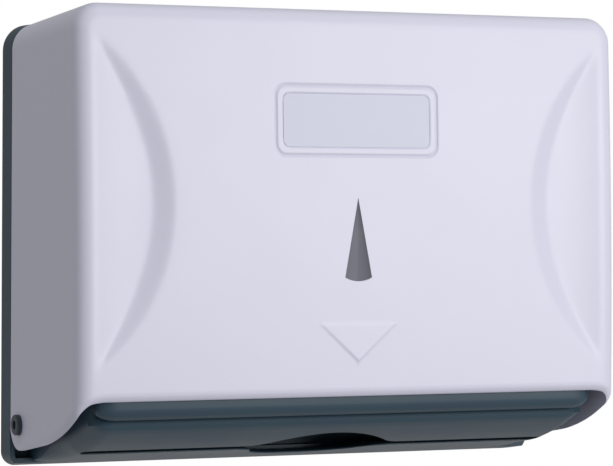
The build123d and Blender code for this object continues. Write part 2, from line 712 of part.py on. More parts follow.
def tray_lap_z():
    """Underside of the step by which the tray laps over the base's lower rim."""
    return WALL + RIM_DEPTH * UNDERSIDE_SLOPE + LAP_GAP


def tray_body():
    """Outer form of the tray: lap, sloping floor, bulge, crease and front roll."""
    bulge = tray_bulge()
    arc = roll_arc()
    crease = arc @ 0
    rear_y = -RIM_DEPTH - LAP_GAP
    floor = carried_floor(bulge, TRAY_HALF_WIDTH, rear_y) & below(TRAY_TOP_Z)
    brim = ((arc @ 1).X + ROLL_LEAN, TRAY_TOP_Z)
    roll = side_prism(make_face([
        arc,
        Line(arc @ 1, brim),
        Line(brim, (crease.X, TRAY_TOP_Z)),
        Line((crease.X, TRAY_TOP_Z), crease),
    ]), TRAY_HALF_WIDTH)
    under_roll = extrude(
        tray_section(crease, TRAY_HALF_WIDTH), CREASE_BACK + PAST, dir=(0, -1, ROLL_END_SLOPE))
    roll = roll & tray_plan(TRAY_HALF_WIDTH, 0) & under_roll
    lap_z = tray_lap_z()
    lap = side_prism(make_face(Polyline(
        (WEB_FRONT_Y, lap_z), (rear_y, lap_z), (rear_y, TRAY_TOP_Z), (WEB_FRONT_Y, TRAY_TOP_Z),
        close=True)), TRAY_HALF_WIDTH)
    lap_round = tray_section(Vector(0, -rear_y * UNDERSIDE_SLOPE), TRAY_HALF_WIDTH)
    return floor + roll + (lap & extrude(lap_round, -2 * rear_y))


def tray_hollow():
    """Trough that the towels lie in, open at its top."""
    thick = TRAY_WALL
    half_width = TRAY_HALF_WIDTH - thick
    over = TRAY_TOP_Z + PAST
    step_y = -RIM_DEPTH - LAP_GAP - thick
    bulge = inner_side(tray_bulge(), thick)
    floor = carried_floor(bulge, half_width, step_y) & below(over)
    arc = roll_arc()
    ridge = bulge @ 1
    rise = beside(arc, 1, thick)
    front = side_prism(make_face(Polyline(
        ridge, beside(arc, 0.5, thick), rise, (rise.X + ROLL_LEAN, over), (ridge.X, over),
        close=True)), half_width)
    front = front & tray_plan(half_width, thick)
    lap_z = tray_lap_z() + thick
    rear_y = WEB_FRONT_Y - thick
    lap = side_prism(make_face(Polyline(
        (rear_y, lap_z), (step_y, lap_z), (step_y, over), (rear_y, over), close=True)), half_width)
    return floor + front + lap


def outlet_outline():
    """Slot across the floor with the round eye in its middle, as one blended outline."""
    slot_width = SLOT_REAR_Y - SLOT_FRONT_Y
    slot_y = (SLOT_FRONT_Y + SLOT_REAR_Y) / 2
    slot = Pos(0, slot_y) * RectangleRounded(2 * SLOT_HALF_LENGTH, slot_width, SLOT_END_RADIUS)
    opening = slot + Pos(0, EYE_Y) * Circle(EYE_RADIUS)
    corners = [v for v in opening.vertices() if abs(v.X) < SLOT_HALF_LENGTH - slot_width]
    return fillet(corners, EYE_BLEND)


def outlet_cut():
    """Opening that the towels are pulled through."""
    return extrude(Plane.XY.offset(-2 * PAST) * outlet_outline(), COVER_HEIGHT / 2)


def outlet_bevel():
    """Bevel that thins the floor from above towards the opening's rear edge."""
    lip = Plane(origin=(0, 0, OUTLET_LIP), x_dir=(1, 0, 0), z_dir=(0, UNDERSIDE_SLOPE, 1))
    bevel = extrude(lip * outlet_outline(), 2 * TRAY_WALL, taper=-OUTLET_LIP_ANGLE)
    keep_y = SLOT_REAR_Y - OUTLET_LIP_SETBACK
    return bevel & Pos(0, keep_y + WIDTH / 2, 0) * Box(2 * WIDTH, WIDTH, WIDTH)


def outlet_tray():
    """Open trough under the towels; its floor is the dispenser's underside."""
    tray = tray_body() - tray_hollow() - outlet_cut() - outlet_bevel()
    for x in tray_screw_xs():
        tray -= screw_hole(x, TRAY_SCREW_Z, TRAY_WALL)
    return tray


# ---------------------------------------------------------------- lock

def lock_frame():
    """Place on the cover's top where the lock sits, with +Z out of the top."""
    return Pos(0, LOCK_Y, top_z(LOCK_Y)) * Rot(X=-TOP_ANGLE)


def post(radius, low, high):
    """Upright cylinder between two levels."""
    return Pos(0, 0, low) * Cylinder(radius, high - low, align=(Align.CENTER, Align.CENTER, Align.MIN))


def lock_housing():
    """Round housing through the cover's top, with a flange outside."""
    body = post(LOCK_BODY_RADIUS, -LOCK_BODY_LENGTH, 0)
    flange = post(LOCK_FLANGE_RADIUS, 0, LOCK_FLANGE_THICKNESS)
    rim = flange.edges().filter_by(GeomType.CIRCLE).sort_by(Axis.Z)[-1]
    housing = body + chamfer(rim, LOCK_FLANGE_BEVEL)
    housing -= post(BARREL_RADIUS + BARREL_FIT, -LOCK_BODY_LENGTH - PAST, PAST)
    step = LOCK_FLANGE_THICKNESS - BARREL_HEAD_DEPTH
    return housing - post(BARREL_HEAD_RADIUS + BARREL_FIT, step, PAST)


def lock_nut():
    """Hexagon nut that clamps the housing to the cover from inside."""
    hexagon = RegularPolygon(LOCK_NUT_ACROSS_FLATS / 2, 6, major_radius=False)
    nut = extrude(
        Plane.XY.offset(-WALL - SEAT_GAP - LOCK_NUT_THICKNESS) * hexagon, LOCK_NUT_THICKNESS)
    return nut - post(LOCK_BODY_RADIUS + FIXED_FIT, -LOCK_BODY_LENGTH, 0)


def lock_barrel():
    """Plug turned by the key, with a square tail for the cam."""
    head_low = LOCK_FLANGE_THICKNESS - BARREL_HEAD_DEPTH + SEAT_GAP
    tail_low = -CAM_TOP - CAM_THICKNESS
    barrel = post(BARREL_RADIUS, -CAM_TOP, head_low + JOIN)
    barrel += post(BARREL_HEAD_RADIUS, head_low, LOCK_FLANGE_THICKNESS - BARREL_SINK)
    barrel += Pos(0, 0, -CAM_TOP - CAM_THICKNESS / 2) * Box(CAM_SQUARE, CAM_SQUARE, CAM_THICKNESS)
    barrel -= Pos(0, 0, LOCK_FLANGE_THICKNESS - KEY_SLOT_DEPTH / 2) * Box(
        KEY_SLOT_WIDTH, KEY_SLOT_LENGTH, KEY_SLOT_DEPTH)
    hole_top = tail_low + CAM_SCREW_LENGTH + SCREW_HOLE_SPARE
    return barrel - post(CAM_SCREW_RADIUS + FIXED_FIT, tail_low - PAST, hole_top)


def lock_cam():
    """Flat tongue on the barrel's tail; at rest it points back to the wall."""
    plan = make_hull([
        *Circle(CAM_TAIL_RADIUS).edges(),
        *(Pos(0, CAM_REACH - CAM_TIP_RADIUS) * Circle(CAM_TIP_RADIUS)).edges(),
    ])
    square = CAM_SQUARE + 2 * CAM_SQUARE_FIT
    plan -= Rectangle(square, square)
    return extrude(Plane.XY.offset(-CAM_TOP - CAM_THICKNESS) * plan, CAM_THICKNESS)


def cam_screw():
    """Screw that holds the cam on the tail."""
    seat = -CAM_TOP - CAM_THICKNESS - SEAT_GAP
    head = post(CAM_SCREW_HEAD_RADIUS, seat - CAM_SCREW_HEAD, seat)
    low = head.edges().filter_by(GeomType.CIRCLE).sort_by(Axis.Z)[0]
    head = chamfer(low, SCREW_HEAD_BEVEL)
    slot_length, slot_width = CAM_SCREW_SLOT
    head -= Pos(0, 0, seat - CAM_SCREW_HEAD) * Box(slot_length, slot_width, CAM_SCREW_HEAD)
    return head + post(CAM_SCREW_RADIUS, seat - JOIN, seat + CAM_SCREW_LENGTH)


# ---------------------------------------------------------------- keeper

def cam_under_z():
    """Height of the cam's underside on the lock's axis."""
    return (lock_frame() * Pos(0, 0, -CAM_TOP - CAM_THICKNESS)).position.Z


def keeper_shelf_z():
    """Top of the keeper's shelf."""
    return cam_under_z() - KEEPER_SHELF_GAP


def keeper_foot_z():
    """Lower edge of the keeper's foot."""
    return keeper_shelf_z() - KEEPER_THICKNESS - KEEPER_FOOT_HEIGHT


def keeper_middle_x():
    """Middle of the keeper's hook and foot."""
    return (KEEPER_HOOK_IN_X + KEEPER_HOOK_OUT_X) / 2


def keeper_screw_xs():
    """The two screws' places across the foot."""
    return [keeper_middle_x() + side * KEEPER_SCREW_SPACING / 2 for side in (-1, 1)]


def keeper_screw_z():
    """Height of the keeper's screws, half-way down the foot."""
    return keeper_foot_z() + KEEPER_FOOT_HEIGHT / 2


def keeper():
    """Bent sheet bracket: a foot on the web, a shelf under the cam and a lip in front of it."""
    shelf_z = keeper_shelf_z()
    middle = keeper_middle_x()
    lock_y = (lock_frame() * Pos(0, 0, -CAM_TOP - CAM_THICKNESS / 2)).position.Y
    lip_y = lock_y - CAM_TAIL_RADIUS - KEEPER_CAM_GAP
    foot_height = KEEPER_THICKNESS + KEEPER_FOOT_HEIGHT
    foot = Pos(middle, WEB_FRONT_Y - KEEPER_THICKNESS / 2, shelf_z - foot_height / 2) * Box(
        KEEPER_FOOT_WIDTH, KEEPER_THICKNESS, foot_height)
    width = KEEPER_HOOK_IN_X - KEEPER_HOOK_OUT_X
    front_y = lip_y - KEEPER_THICKNESS
    shelf = Pos(middle, (WEB_FRONT_Y + front_y) / 2, shelf_z - KEEPER_THICKNESS / 2) * Box(
        width, WEB_FRONT_Y - front_y, KEEPER_THICKNESS)
    lip_top = cam_under_z() + KEEPER_LIP_UP
    lip_low = shelf_z - KEEPER_THICKNESS
    lip = Pos(middle, lip_y - KEEPER_THICKNESS / 2, (lip_low + lip_top) / 2) * Box(
        width, KEEPER_THICKNESS, lip_top - lip_low)
    bracket = foot + shelf + lip
    for x in keeper_screw_xs():
        bracket -= screw_hole(x, keeper_screw_z(), KEEPER_THICKNESS)
    return bracket


# ---------------------------------------------------------------- pieces

def pieces():
    """Every piece by its node name."""
    made = {
        "back_plate": back_plate(),
        "outlet_tray": outlet_tray(),
        "hinge_pin_left": hinge_pin(-1),
        "hinge_pin_right": hinge_pin(1),
        "keeper": keeper(),
        "front_cover": front_cover(),
        "hinge_bush_left": hinge_bush(-1),
        "hinge_bush_right": hinge_bush(1),
        "level_window": level_window(),
        "label_plate": label_plate(),
        "lock_housing": lock_frame() * lock_housing(),
        "lock_nut": lock_frame() * lock_nut(),
        "lock_barrel": lock_frame() * lock_barrel(),
        "lock_cam": lock_frame() * lock_cam(),
        "cam_screw": lock_frame() * cam_screw(),
    }
    for i, x in enumerate(tray_screw_xs()):
        made[f"tray_screw_{i + 1}"] = screw(x, TRAY_SCREW_Z, WEB_FRONT_Y - TRAY_WALL)
    for i, x in enumerate(keeper_screw_xs()):
        made[f"keeper_screw_{i + 1}"] = screw(x, keeper_screw_z(), WEB_FRONT_Y - KEEPER_THICKNESS)
    return made


os.makedirs("parts", exist_ok=True)
for name, piece in pieces().items():
    export_step(Pos(0, 0, -HOLES_Z) * piece, f"parts/{name}.step")
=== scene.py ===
import math

import bmesh
import bpy
import numpy as np
from mathutils import Matrix, Vector


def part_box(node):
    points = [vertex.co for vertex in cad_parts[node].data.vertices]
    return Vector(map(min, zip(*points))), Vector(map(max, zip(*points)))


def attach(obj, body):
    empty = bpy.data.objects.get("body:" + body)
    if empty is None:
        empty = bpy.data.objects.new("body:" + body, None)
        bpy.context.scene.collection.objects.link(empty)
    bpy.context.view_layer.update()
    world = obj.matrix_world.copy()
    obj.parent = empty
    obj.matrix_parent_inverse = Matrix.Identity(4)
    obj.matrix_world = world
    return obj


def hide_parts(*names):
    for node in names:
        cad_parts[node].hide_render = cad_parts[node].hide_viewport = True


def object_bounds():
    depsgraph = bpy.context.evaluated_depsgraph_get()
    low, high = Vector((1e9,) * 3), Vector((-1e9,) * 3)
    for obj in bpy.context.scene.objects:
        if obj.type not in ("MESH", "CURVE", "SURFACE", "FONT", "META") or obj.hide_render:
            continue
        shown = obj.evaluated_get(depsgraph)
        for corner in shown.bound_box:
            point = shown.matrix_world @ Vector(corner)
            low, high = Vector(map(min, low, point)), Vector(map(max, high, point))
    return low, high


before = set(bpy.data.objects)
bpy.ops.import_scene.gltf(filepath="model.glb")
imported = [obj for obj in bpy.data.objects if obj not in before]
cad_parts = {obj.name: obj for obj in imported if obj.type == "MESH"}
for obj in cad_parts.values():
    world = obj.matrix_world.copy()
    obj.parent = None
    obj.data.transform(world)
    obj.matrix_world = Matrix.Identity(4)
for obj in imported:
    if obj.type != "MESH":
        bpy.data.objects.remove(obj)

bl_info = {
    "name": "Folded Hand Towel Dispenser",
    "version": (1, 0, 0),
    "blender": (4, 5, 0),
    "location": "3D View > Sidebar > Dispenser",
    "description": "Finishes the pieces of a wall dispenser for folded hand towels",
    "category": "Object",
}

CAD_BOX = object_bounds()
COVER_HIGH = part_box("front_cover")[1]

MM = 0.001
QUARTER = math.pi / 2


# ---------------------------------------------------------------- settings

class CoverSizes(bpy.types.PropertyGroup):
    """Sizes of the moulded cover."""

    wall: bpy.props.FloatProperty(
        name="Wall", description="Thickness of the moulded wall",
        default=2.2 * MM, min=0.0, unit="LENGTH", precision=5)
    corner_radius: bpy.props.FloatProperty(
        name="Corner radius", description="Upper corners seen from the front",
        default=12.0 * MM, min=0.0, unit="LENGTH", precision=5)
    edge_radius: bpy.props.FloatProperty(
        name="Edge radius", description="Rounding of the front edges",
        default=7.0 * MM, min=0.0, unit="LENGTH", precision=5)
    lip_radius: bpy.props.FloatProperty(
        name="Lip radius", description="Rounding of the lower edge, into the wall",
        default=2.1 * MM, min=0.0, unit="LENGTH", precision=5)
    lip_height: bpy.props.FloatProperty(
        name="Lip height", description="Rounding of the lower edge, up the wall",
        default=2.7 * MM, min=0.0, unit="LENGTH", precision=5)
    face_low: bpy.props.FloatProperty(
        name="Face's lower edge", description="Height of the lower edge of the face",
        default=-74.9 * MM, unit="LENGTH", precision=5)
    depth_high: bpy.props.FloatProperty(
        name="Depth at the top", description="Wall to face at the top",
        default=93.8 * MM, min=0.0, unit="LENGTH", precision=5)
    bow: bpy.props.FloatProperty(
        name="Bow", description="How far the face bows out between its top and its foot",
        default=1.6 * MM, min=0.0, unit="LENGTH", precision=5)
    scoop_depth: bpy.props.FloatProperty(
        name="Scoop depth", description="Depth of the hollowed flanks",
        default=3.3 * MM, min=0.0, unit="LENGTH", precision=5)
    step_run: bpy.props.FloatProperty(
        name="Step run", description="Width of the sloped step beside each flank",
        default=8.2 * MM, min=0.0, unit="LENGTH", precision=5)


class TraySizes(bpy.types.PropertyGroup):
    """Sizes of the outlet tray."""

    half_width: bpy.props.FloatProperty(
        name="Half width", description="Middle to one end of the tray",
        default=122.6 * MM, min=0.0, unit="LENGTH", precision=5)
    wall: bpy.props.FloatProperty(
        name="Wall", description="Thickness of the moulded wall",
        default=2.2 * MM, min=0.0, unit="LENGTH", precision=5)
    end_rounding: bpy.props.FloatProperty(
        name="End rounding", description="Width over which the underside rounds up to each end",
        default=10.0 * MM, min=0.0, unit="LENGTH", precision=5)
    roll_rounding: bpy.props.FloatProperty(
        name="Roll rounding", description="How far the front roll turns in at each end",
        default=4.6 * MM, min=0.0, unit="LENGTH", precision=5)
    slot_half_length: bpy.props.FloatProperty(
        name="Slot half length", description="Middle to one end of the outlet slot",
        default=115.8 * MM, min=0.0, unit="LENGTH", precision=5)
    eye_radius: bpy.props.FloatProperty(
        name="Eye radius", description="Rear arc of the opening in the middle of the slot",
        default=29.0 * MM, min=0.0, unit="LENGTH", precision=5)
    eye_front_radius: bpy.props.FloatProperty(
        name="Eye front radius", description="Front arc of the opening in the middle of the slot",
        default=41.0 * MM, min=0.0, unit="LENGTH", precision=5)


class DispenserColours(bpy.types.PropertyGroup):
    """Colours of the finishes."""

    cover: bpy.props.FloatVectorProperty(
        name="Cover", description="Moulded cover", subtype="COLOR", size=3,
        min=0.0, max=1.0, default=(0.73, 0.725, 0.85))
    mouldings: bpy.props.FloatVectorProperty(
        name="Dark mouldings", description="Base and outlet tray", subtype="COLOR", size=3,
        min=0.0, max=1.0, default=(0.021, 0.053, 0.079))
    window: bpy.props.FloatVectorProperty(
        name="Window", description="Smoke-coloured level window", subtype="COLOR", size=3,
        min=0.0, max=1.0, default=(0.20, 0.20, 0.235))
    label: bpy.props.FloatVectorProperty(
        name="Label", description="Bare label plate", subtype="COLOR", size=3,
        min=0.0, max=1.0, default=(0.70, 0.712, 0.83))


# ---------------------------------------------------------------- curves and fields

def smooth_step(low, high, value):
    """0 at low, 1 at high and eased between, whichever of the two is larger."""
    t = np.clip((value - low) / (high - low), 0.0, 1.0)
    return t * t * (3 - 2 * t)


def soft_min(a, b, softness):
    """The smaller of two fields, with a rounded changeover."""
    return (a + b - np.sqrt((a - b) ** 2 + softness ** 2)) / 2


def soft_max(a, b, softness):
    """The larger of two fields, with a rounded changeover."""
    return (a + b + np.sqrt((a - b) ** 2 + softness ** 2)) / 2


def hermite(places, knots, values, slopes):
    """Cubic curve through values at knots in any order, with a slope at each."""
    order = np.argsort(knots)
    knots, values, slopes = knots[order], values[order], slopes[order]
    i = np.clip(np.searchsorted(knots, places) - 1, 0, len(knots) - 2)
    width = knots[i + 1] - knots[i]
    t = (places - knots[i]) / width
    return (
        values[i] * (2 * t ** 3 - 3 * t ** 2 + 1)
        + slopes[i] * width * (t ** 3 - 2 * t ** 2 + t)
        + values[i + 1] * (3 * t ** 2 - 2 * t ** 3)
        + slopes[i + 1] * width * (t ** 3 - t ** 2)
    )


def rounded_box_distance(x, z, width, height, radius):
    """Distance to a rounded rectangle, less than 0 inside."""
    over_x = np.abs(x) - width / 2 + radius
    over_z = np.abs(z) - height / 2 + radius
    outside = np.hypot(np.maximum(over_x, 0), np.maximum(over_z, 0))
    return outside + np.minimum(np.maximum(over_x, over_z), 0) - radius


def unit_rows(ways):
    """Directions in a plane, brought to a length of 1."""
    return ways / np.hypot(ways[:, 0], ways[:, 1])[:, None]


def arc(centre, radius, start, end, count):
    """Points along an arc from one angle to another."""
    return [
        (centre[0] + radius * math.cos(a), centre[1] + radius * math.sin(a))
        for a in np.linspace(start, end, count)]


def circle_outline(radius, count=48):
    """Points round a circle about the origin."""
    return arc((0.0, 0.0), radius, 0.0, 2 * math.pi, count + 1)[:-1]


def arc_through(start, middle, end, count):
    """Points on the circle through three places in a plane, and its centre."""
    (ax, ay), (bx, by), (cx, cy) = start, middle, end
    a_square, b_square, c_square = (x * x + y * y for x, y in (start, middle, end))
    spread = 2 * (ax * (by - cy) + bx * (cy - ay) + cx * (ay - by))
    centre_x = (a_square * (by - cy) + b_square * (cy - ay) + c_square * (ay - by)) / spread
    centre_y = (a_square * (cx - bx) + b_square * (ax - cx) + c_square * (bx - ax)) / spread
    first = math.atan2(ay - centre_y, ax - centre_x)
    last = math.atan2(cy - centre_y, cx - centre_x)
    if last - first > math.pi:
        last -= 2 * math.pi
    if first - last > math.pi:
        last += 2 * math.pi
    centre = (centre_x, centre_y)
    radius = math.hypot(ax - centre_x, ay - centre_y)
    return np.array(arc(centre, radius, first, last, count)), np.array(centre)


def spaced(*stops):
    """Places from the first stop on, each later stop being (end, step)."""
    places = [np.array([stops[0]])]
    for end, step in stops[1:]:
        start = places[-1][-1]
        count = max(1, round(abs(end - start) / step))
        places.append(np.linspace(start, end, count + 1)[1:])
    return np.concatenate(places)


# ---------------------------------------------------------------- meshes

MERGE_DISTANCE = 1e-6
SHORTEST_EDGE = 1e-7
COVER_SMOOTH_ANGLE = math.radians(50)
TRAY_SMOOTH_ANGLE = math.radians(35)
SCREW_SMOOTH_ANGLE = math.radians(40)


def mesh_from(name, points, faces):
    """Object at the origin from points and faces, with doubles merged and normals outwards."""
    mesh = bpy.data.meshes.new(name)
    mesh.from_pydata(points, [], faces)
    made = bmesh.new()
    made.from_mesh(mesh)
    bmesh.ops.remove_doubles(made, verts=made.verts, dist=MERGE_DISTANCE)
    bmesh.ops.dissolve_degenerate(made, edges=made.edges, dist=SHORTEST_EDGE)
    bmesh.ops.recalc_face_normals(made, faces=made.faces)
    made.to_mesh(mesh)
    made.free()
    piece = bpy.data.objects.new(name, mesh)
    bpy.context.scene.collection.objects.link(piece)
    return piece


def loft(lower, upper):
    """Closed solid between two outlines with as many points each, as points and faces."""
    count = len(lower)
    faces = [tuple(range(count)), tuple(range(2 * count - 1, count - 1, -1))]
    faces += [(i, i + count, (i + 1) % count + count, (i + 1) % count) for i in range(count)]
    return [*lower, *upper], faces


def prism(outline, way):
    """Closed prism from a planar outline along a way, as points and faces."""
    return loft(outline, [tuple(Vector(point) + Vector(way)) for point in outline])


def bake_modifiers(piece):
    """Replaces a piece's mesh by its evaluated one, which must hold faces, and clears its modifiers."""
    graph = bpy.context.evaluated_depsgraph_get()
    baked = bpy.data.meshes.new_from_object(piece.evaluated_get(graph))
    if not baked.polygons:
        raise RuntimeError(f"{piece.name} came out empty")
    old = piece.data
    piece.modifiers.clear()
    piece.data = baked
    bpy.data.meshes.remove(old)
    baked.name = piece.name


def boolean(piece, operation, solid):
    """Joins a solid to a piece or cuts it out."""
    tool = mesh_from("tool", *solid)
    step = piece.modifiers.new("step", "BOOLEAN")
    step.operation = operation
    step.solver = "EXACT"
    step.object = tool
    bake_modifiers(piece)
    tool_mesh = tool.data
    bpy.data.objects.remove(tool)
    bpy.data.meshes.remove(tool_mesh)


def shade(piece, angle):
    """Smooth shading with corners sharper than an angle kept."""
    piece.data.shade_smooth()
    piece.data.set_sharp_from_angle(angle=angle)


def dress(piece, material):
    """Gives a piece one material."""
    piece.data.materials.clear()
    piece.data.materials.append(material)


# ---------------------------------------------------------------- cover's rules

HALF_WIDTH = COVER_HIGH.x
SEAM_Y = COVER_HIGH.y
FRONT_Y = -99.9 * MM
COVER_TOP = 98.5 * MM
BASE_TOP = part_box("back_plate")[1].z
RIM_Y = -12.5 * MM
BACK_CHAMFER = 0.3 * MM
SKIN_BACK_Y = SEAM_Y - BACK_CHAMFER

# Lower edge: a heel round the hinge, the underside's slope, then a sweep up to the face.
UNDERSIDE_SLOPE = 0.163
HINGE_Y = -24.4 * MM
HINGE_Z = -89.6 * MM
HEEL_RADIUS = 11.6 * MM
HEEL_POINTS = 40
SWEEP_START = 46.0 * MM
SWEEP_END = -17.0 * MM
SWEEP_POINTS = 160
SWEEP_SHAPE = (
    (0.0, 0.0), (0.127, 0.085), (0.302, 0.242), (0.454, 0.4225), (0.587, 0.620), (0.694, 0.788),
    (0.787, 0.912), (0.838, 0.963), (0.897, 0.993), (1.0, 1.0))

# Scoops: a hollow across each flank, cut off by an arc-shaped step. UNSCOOPED is a depth well
# outside them: what its softened edge leaves there is taken off, so that the face stays plain.
# They fade out between two distances from the cover's side, counted in edge radii.
SCOOP_Z = 11.5 * MM
SCOOP_X = 97.0 * MM
SCOOP_RADIUS = 120.0 * MM
ARC_X = 179.8 * MM
ARC_RADIUS = 91.0 * MM
SCOOP_SOFTNESS = 0.45 * MM
UNSCOOPED = -2.0 * MM
SCOOP_FADE = (0.9, 1.6)

# Label field: a groove ring, whose flank is counted in its own width, and a sunk panel.
LABEL_Z = 48.3 * MM
LABEL_SIZE = (81.0 * MM, 32.4 * MM, 5.5 * MM)
LABEL_BORDER = 4.3 * MM
LABEL_PANEL_CORNER = 3.0 * MM
LABEL_PANEL_EDGE = (-0.3 * MM, 0.5 * MM)
LABEL_SINK = 0.8 * MM
GROOVE_WIDTH = 1.3 * MM
GROOVE_DEPTH = 0.6 * MM
GROOVE_FLANK = (0.15, 0.6)

ARROW_TIP_Z = -59.8 * MM
ARROW_TOP_Z = -41.3 * MM
ARROW_HALF_WIDTH = 20.4 * MM
ARROW_TIP_RISE = 0.5 * MM
ARROW_TOP_RISE = 0.2 * MM
ARROW_FLANK = 0.7 * MM
ARROW_FADE = 0.9

WINDOW_TOP_Z = 14.0 * MM
WINDOW_LOW_Z = -21.7 * MM
WINDOW_HALF_WIDTH = 6.65 * MM
WINDOW_BULGE = 1.7 * MM
WINDOW_BASE_POINTS = 12

# Round holes by their radius. Each cutter starts well before the skin and ends well past it.
LOCK_Y = -34.0 * MM
LOCK_HOLE = 8.05 * MM
BUSH_HOLE = 3.53 * MM
CUT_PAST = 6.0 * MM


class CoverForm:
    """Surfaces of the cover as functions of a few sizes."""

    def __init__(self, sizes):
        self.sizes = sizes
        low_y, low_z = FRONT_Y, sizes.face_low
        high_y, high_z = -sizes.depth_high, COVER_TOP
        chord = math.hypot(high_y - low_y, high_z - low_z)
        self.radius = (chord ** 2 / 4 + sizes.bow ** 2) / (2 * sizes.bow)
        inward_y = (high_z - low_z) / chord
        inward_z = -(high_y - low_y) / chord
        self.centre_y = (low_y + high_y) / 2 + inward_y * (self.radius - sizes.bow)
        self.centre_z = (low_z + high_z) / 2 + inward_z * (self.radius - sizes.bow)
        self.top_slope = (COVER_TOP - BASE_TOP) / (sizes.depth_high + RIM_Y)
        self.edge_around, self.edge_z = self.lower_edge_line()

    def face_y(self, z):
        """Y of the face at a height, before its relief."""
        return self.centre_y - np.sqrt(self.radius ** 2 - (z - self.centre_z) ** 2)

    def top_z(self, y):
        """Z of the sloping top."""
        return BASE_TOP + (RIM_Y - y) * self.top_slope

    def lower_edge_line(self):
        """Lower edge from the seam round to the face, by distance round the front corner."""
        turn = np.linspace(0.0, QUARTER + math.atan(UNDERSIDE_SLOPE), HEEL_POINTS)
        heel_y = HINGE_Y + HEEL_RADIUS * np.cos(turn)
        heel_z = HINGE_Z - HEEL_RADIUS * np.sin(turn)
        start_z = heel_z[-1] + (heel_y[-1] - FRONT_Y - SWEEP_START) * UNDERSIDE_SLOPE
        shape = np.array(SWEEP_SHAPE)
        knots = SWEEP_START + (SWEEP_END - SWEEP_START) * shape[:, 0]
        heights = start_z + (self.sizes.face_low - start_z) * shape[:, 1]
        slopes = np.gradient(heights, knots)
        slopes[0] = -UNDERSIDE_SLOPE
        slopes[-1] = 0.0
        along = np.linspace(knots[0], knots[-1], SWEEP_POINTS)
        sweep_z = hermite(along, knots, heights, slopes)
        return np.concatenate((heel_y - FRONT_Y, along)), np.concatenate((heel_z, sweep_z))

    def edge_height(self, x, y):
        """Height of the cover's lower edge below a place on its outer skin."""
        around = np.abs(x) - HALF_WIDTH + y - FRONT_Y
        return np.interp(-around, -self.edge_around, self.edge_z)

    def relief(self, x, z):
        """How far the skin lies behind the plain face: scoops, label field and arrow."""
        return self.scoops(x, z) + label_field(x, z) - arrow_rise(x, z)

    def scoops(self, x, z):
        """Depth of the hollowed flanks and their sloped steps."""
        sizes = self.sizes
        off = np.clip(np.abs(x) - SCOOP_X, -SCOOP_RADIUS, SCOOP_RADIUS)
        flank = sizes.scoop_depth - SCOOP_RADIUS + np.sqrt(SCOOP_RADIUS ** 2 - off ** 2)
        reach = np.hypot(np.abs(x) - ARC_X, z - SCOOP_Z)
        step = (ARC_RADIUS - reach) * sizes.scoop_depth / sizes.step_run
        depth = soft_max(soft_min(flank, step, SCOOP_SOFTNESS), 0 * x, SCOOP_SOFTNESS)
        plain = soft_max(UNSCOOPED, 0.0, SCOOP_SOFTNESS)
        bare_x, full_x = (HALF_WIDTH - radii * sizes.edge_radius for radii in SCOOP_FADE)
        return (depth - plain) * smooth_step(bare_x, full_x, np.abs(x))


def label_field(x, z):
    """Depth of the groove ring and the sunk panel."""
    width, height, corner = LABEL_SIZE
    ring = rounded_box_distance(x, z - LABEL_Z, width, height, corner) + GROOVE_WIDTH / 2
    floor, brim = (share * GROOVE_WIDTH for share in GROOVE_FLANK)
    groove = GROOVE_DEPTH * (1 - smooth_step(floor, brim, np.abs(ring)))
    panel = rounded_box_distance(
        x, z - LABEL_Z, width - 2 * LABEL_BORDER, height - 2 * LABEL_BORDER, LABEL_PANEL_CORNER)
    return groove + LABEL_SINK * (1 - smooth_step(*LABEL_PANEL_EDGE, panel))


def arrow_rise(x, z):
    """Height of the raised arrow head, which fades out at its top."""
    length = ARROW_TOP_Z - ARROW_TIP_Z
    up = (z - ARROW_TIP_Z) / length
    slant = math.hypot(ARROW_HALF_WIDTH, length)
    inside = (up * ARROW_HALF_WIDTH - np.abs(x)) * length / slant
    height = ARROW_TIP_RISE + (ARROW_TOP_RISE - ARROW_TIP_RISE) * np.clip(up, 0, 1)
    return height * smooth_step(0.0, ARROW_FLANK, inside) * (1 - smooth_step(ARROW_FADE, 1.0, up))


# ---------------------------------------------------------------- cover's mesh

# Grid lines of the face as (end, spacing), close together over the arrow and the groove ring.
COLUMN_STOPS = (
    (21.6 * MM, 0.6 * MM), (35.0 * MM, 2.2 * MM), (41.4 * MM, 0.45 * MM), (86.0 * MM, 3.0 * MM))
CORNER_SPACING = 1.1 * MM
ROW_STOPS = (
    (-61.0 * MM, 1.8 * MM), (-40.0 * MM, 0.6 * MM), (31.5 * MM, 2.2 * MM), (38.0 * MM, 0.45 * MM),
    (58.6 * MM, 2.5 * MM), (65.1 * MM, 0.45 * MM))
TOP_SPACING = 1.6 * MM

# Levels from the seam to the face: close together over the seam's share of the depth, plain,
# round the edge, then flat.
SEAM_LEVELS = 9
SEAM_SHARE = 0.12
PLAIN_LEVELS = 24
EDGE_LEVELS = 9
FLAT_LEVELS = 4
CORNER_TURNS = 13
SETTLE_ROUNDS = 6

# How far up a row still follows the lower edge, and how far down one follows the top.
FOOT_REACH = 32.0 * MM
HEAD_REACH = 45.0 * MM

# The lip is part flat and part round. It is sharp at the seam and full from the second depth on.
LIP_FLAT = 0.6
LIP_ROWS = 7
LIP_FADE = (8.0 * MM, 32.0 * MM)
STEEPEST_EDGE = 1.5


